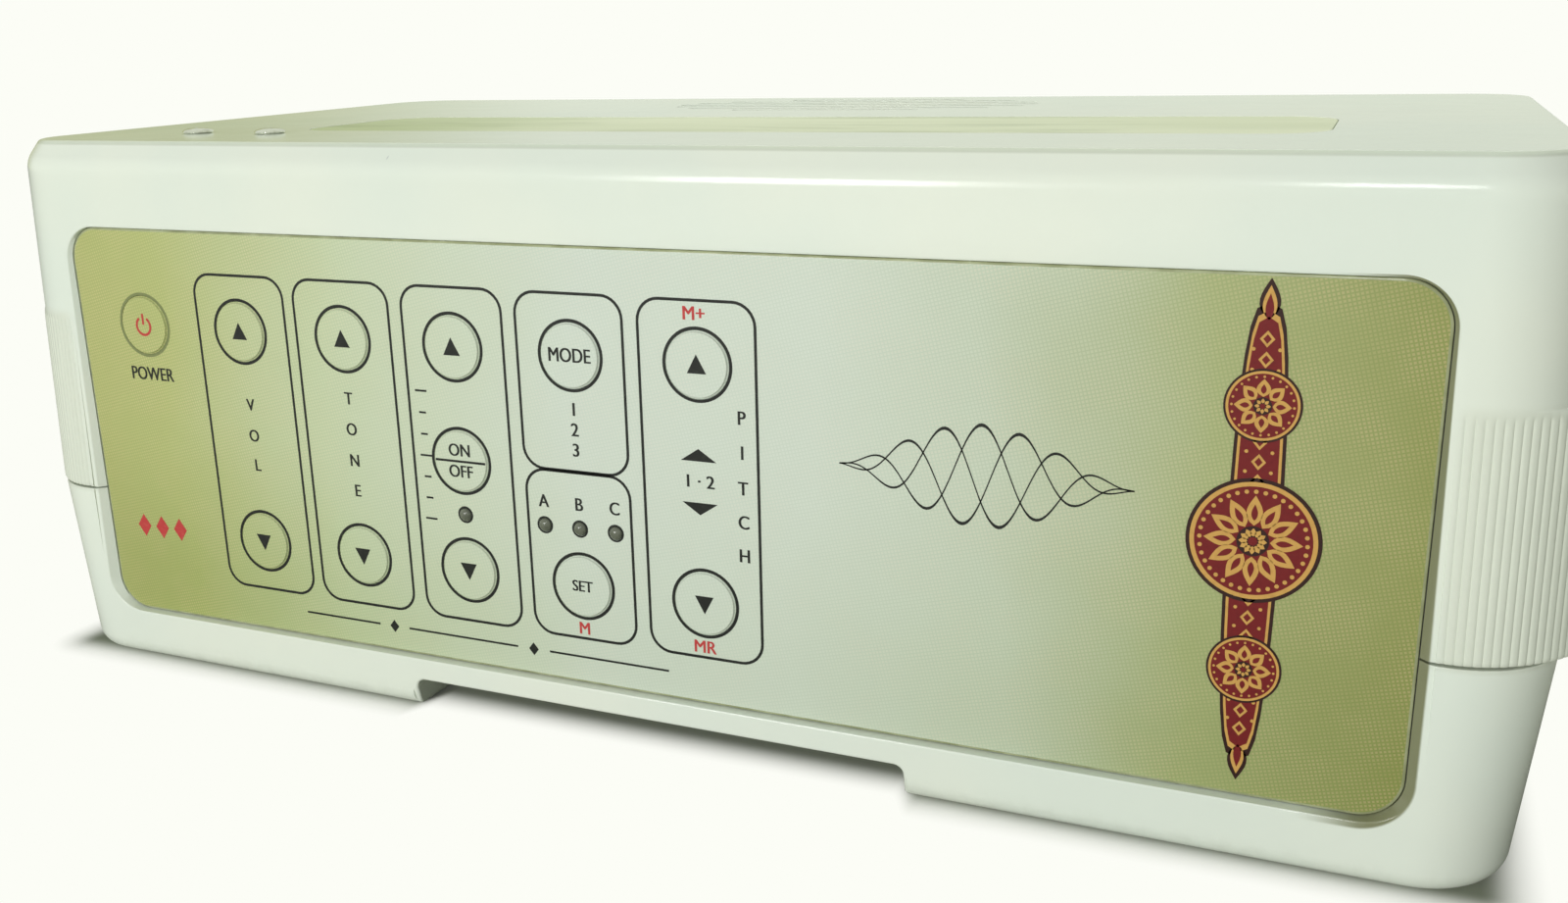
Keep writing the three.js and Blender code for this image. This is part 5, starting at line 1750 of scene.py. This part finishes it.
dressed = (  # finishes for pieces of the frame that stay as they are
    (plateGrey, ["front_panel"]),
    (greenBoard, ["key_board", "main_board", "amp_board"]),
    (chipBlack, ["sound_chip", "amp_chip"]),
    (jacketBlue, ["amp_capacitor"]),
    (greyCable, ["key_ribbon"]),
    (zincSteel, [*numbered("board_screw", 4), *speakerNodes, "speaker_basket"]),
    (brassContact, ["contact_plate_front", "contact_plate_rear"]),
    (millAluminium, ["amp_bracket"]),
    (ferrite, ["speaker_magnet"]),
    (coneBlack, ["speaker_cone"]),
    (foamBlack, ["speaker_surround"]),
    (leadRed, ["speaker_lead"]),
)


def dress(obj, material):
    if not obj.material_slots:
        obj.data.materials.append(material)
    for entry in obj.material_slots:
        entry.material = material


cells()
for finish, nodeNames in dressed:
    for nodeName in nodeNames:
        dress(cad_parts[nodeName], finish)
print("inside done")


# Floor, light and camera

room = {
    "floorHalf": 3000,
    "floor": paint(246, 248, 242),
    "bounce": paint(178, 180, 170),  # the floor as other things see it
    "shade": paint(112, 120, 98),  # beside the feet
    "footHalf": (119.5, 58.3),
    "archHalf": 53,
    "reach": 6,
    "dark": paint(0, 0, 0),
    "lift": 0.04,
    "near": 1,  # the floor turns into the background between these distances from the feet
    "far": 9,
    "world": paint(252, 253, 246),
    "dim": paint(124, 125, 121),
    "sheen": paint(211, 217, 203),
    "corner": paint(156, 161, 106),  # behind at the left; it only shines in the roof
    "cornerSpan": (-0.71, -0.5),
}


def paleFloor():
    half = room["floorHalf"]
    corners = [(-half, -half, 0), (half, -half, 0), (half, half, 0), (-half, half, 0)]
    made = newObject("floor", corners, [(0, 1, 2, 3)])
    nodes = Finish("paleFloor")
    x, y, z = nodes.axes(nodes.place)
    sideX, sideY = room["footHalf"]
    nearArch = arch["half"] - 2, arch["half"] + 2
    beside = (abs(x) - sideX).atLeast(0)
    front = room["archHalf"] + (sideY - room["archHalf"]) * abs(x).between(*nearArch)
    before = (abs(y) - front).atLeast(0)
    away = (beside ** 2 + before ** 2) ** 0.5
    seen = nodes.add("ShaderNodeLightPath", output="Is Camera Ray")
    tone = nodes.blend(away.between(0, room["reach"]), room["shade"], room["floor"])
    shader = nodes.tree.nodes["Principled BSDF"]
    nodes.plug(shader.inputs["Base Color"], nodes.blend(seen, room["bounce"], tone))
    nodes.plug(shader.inputs["Roughness"], 0.9)
    nodes.plug(shader.inputs["Emission Color"], nodes.blend(seen, room["dark"], room["world"]))
    nodes.plug(shader.inputs["Emission Strength"], room["lift"])
    glow = nodes.add("ShaderNodeEmission", {}, {"Color": room["world"]})
    share = away.between(room["near"], room["far"]) * seen
    values = {0: share, 1: Wire(nodes, shader.outputs[0]), 2: glow}
    mixed = nodes.add("ShaderNodeMixShader", {}, values)
    nodes.plug(nodes.tree.nodes["Material Output"].inputs["Surface"], mixed)
    coat(made, nodes.material)


def paleWorld():
    world = bpy.data.worlds.new("paleWorld")
    scene.world = world
    world.use_nodes = True
    nodes = Nodes(world.node_tree)
    back = nodes.tree.nodes["Background"]
    seen = nodes.add("ShaderNodeLightPath", output="Is Camera Ray")
    x, y, z = nodes.axes(nodes.add("ShaderNodeTexCoord", output="Generated"))
    corner = (1 - x.between(*room["cornerSpan"])) * y.between(0, 0.2) * (1 - z.between(0.2, 0.5))
    sheen = nodes.blend(corner, room["sheen"], room["corner"])
    unseen = nodes.blend(seen.out("Is Glossy Ray"), room["dim"], sheen)
    nodes.plug(back.inputs["Color"], nodes.blend(seen, unseen, room["world"]))
    nodes.plug(back.inputs["Strength"], 1.0)


lamps = {  # place, size, power, tint, what it shines at
    "key": ((-200, -1385, 300), (300, 300), 9.9, (1, 1, 1), (0, 0, 45)),
    "glint": ((104, -1400, 700), (110, 200), 1.2, (1, 1, 1), (0, 0, 45)),
    "fill": ((-480, -1300, 300), (300, 300), 3.2, (1, 1, 1), (0, 0, 45)),
    "top": ((-60, 420, 860), (220, 160), 5.4, (0.98, 1, 0.9), (0, 0, 60)),
}
glossyLamps = ("glint", "fill")  # only these two leave streaks on the shoulder


def studioLamps():
    for name, (spot, size, power, tint, aim) in lamps.items():
        data = bpy.data.lights.new(name, "AREA")
        data.shape = "RECTANGLE"
        data.size, data.size_y = size[0] * mm, size[1] * mm
        data.energy = power
        data.color = tint
        made = linked(name, data)
        place = Vector(spot) * mm
        made.location = place
        made.visible_glossy = name in glossyLamps
        made.rotation_euler = (Vector(aim) * mm - place).to_track_quat("-Z", "Y").to_euler()


view = {"place": (101.76, -241.10, 105.25), "turn": (74.505, 1.028, 22.882)}
view.update({"lens": 32.722, "sensor": 36, "near": 0.005, "far": 20})


def makeCamera():
    data = bpy.data.cameras.new("camera")
    data.lens = view["lens"]
    data.sensor_width = view["sensor"]
    data.clip_start = view["near"]
    data.clip_end = view["far"]
    camera = linked("camera", data)
    camera.location = Vector(view["place"]) * mm
    camera.rotation_euler = Euler([math.radians(a) for a in view["turn"]], "XYZ")
    scene.camera = camera


paleFloor()
paleWorld()
studioLamps()
makeCamera()
scene.view_settings.view_transform = "Standard"
print("stage done")
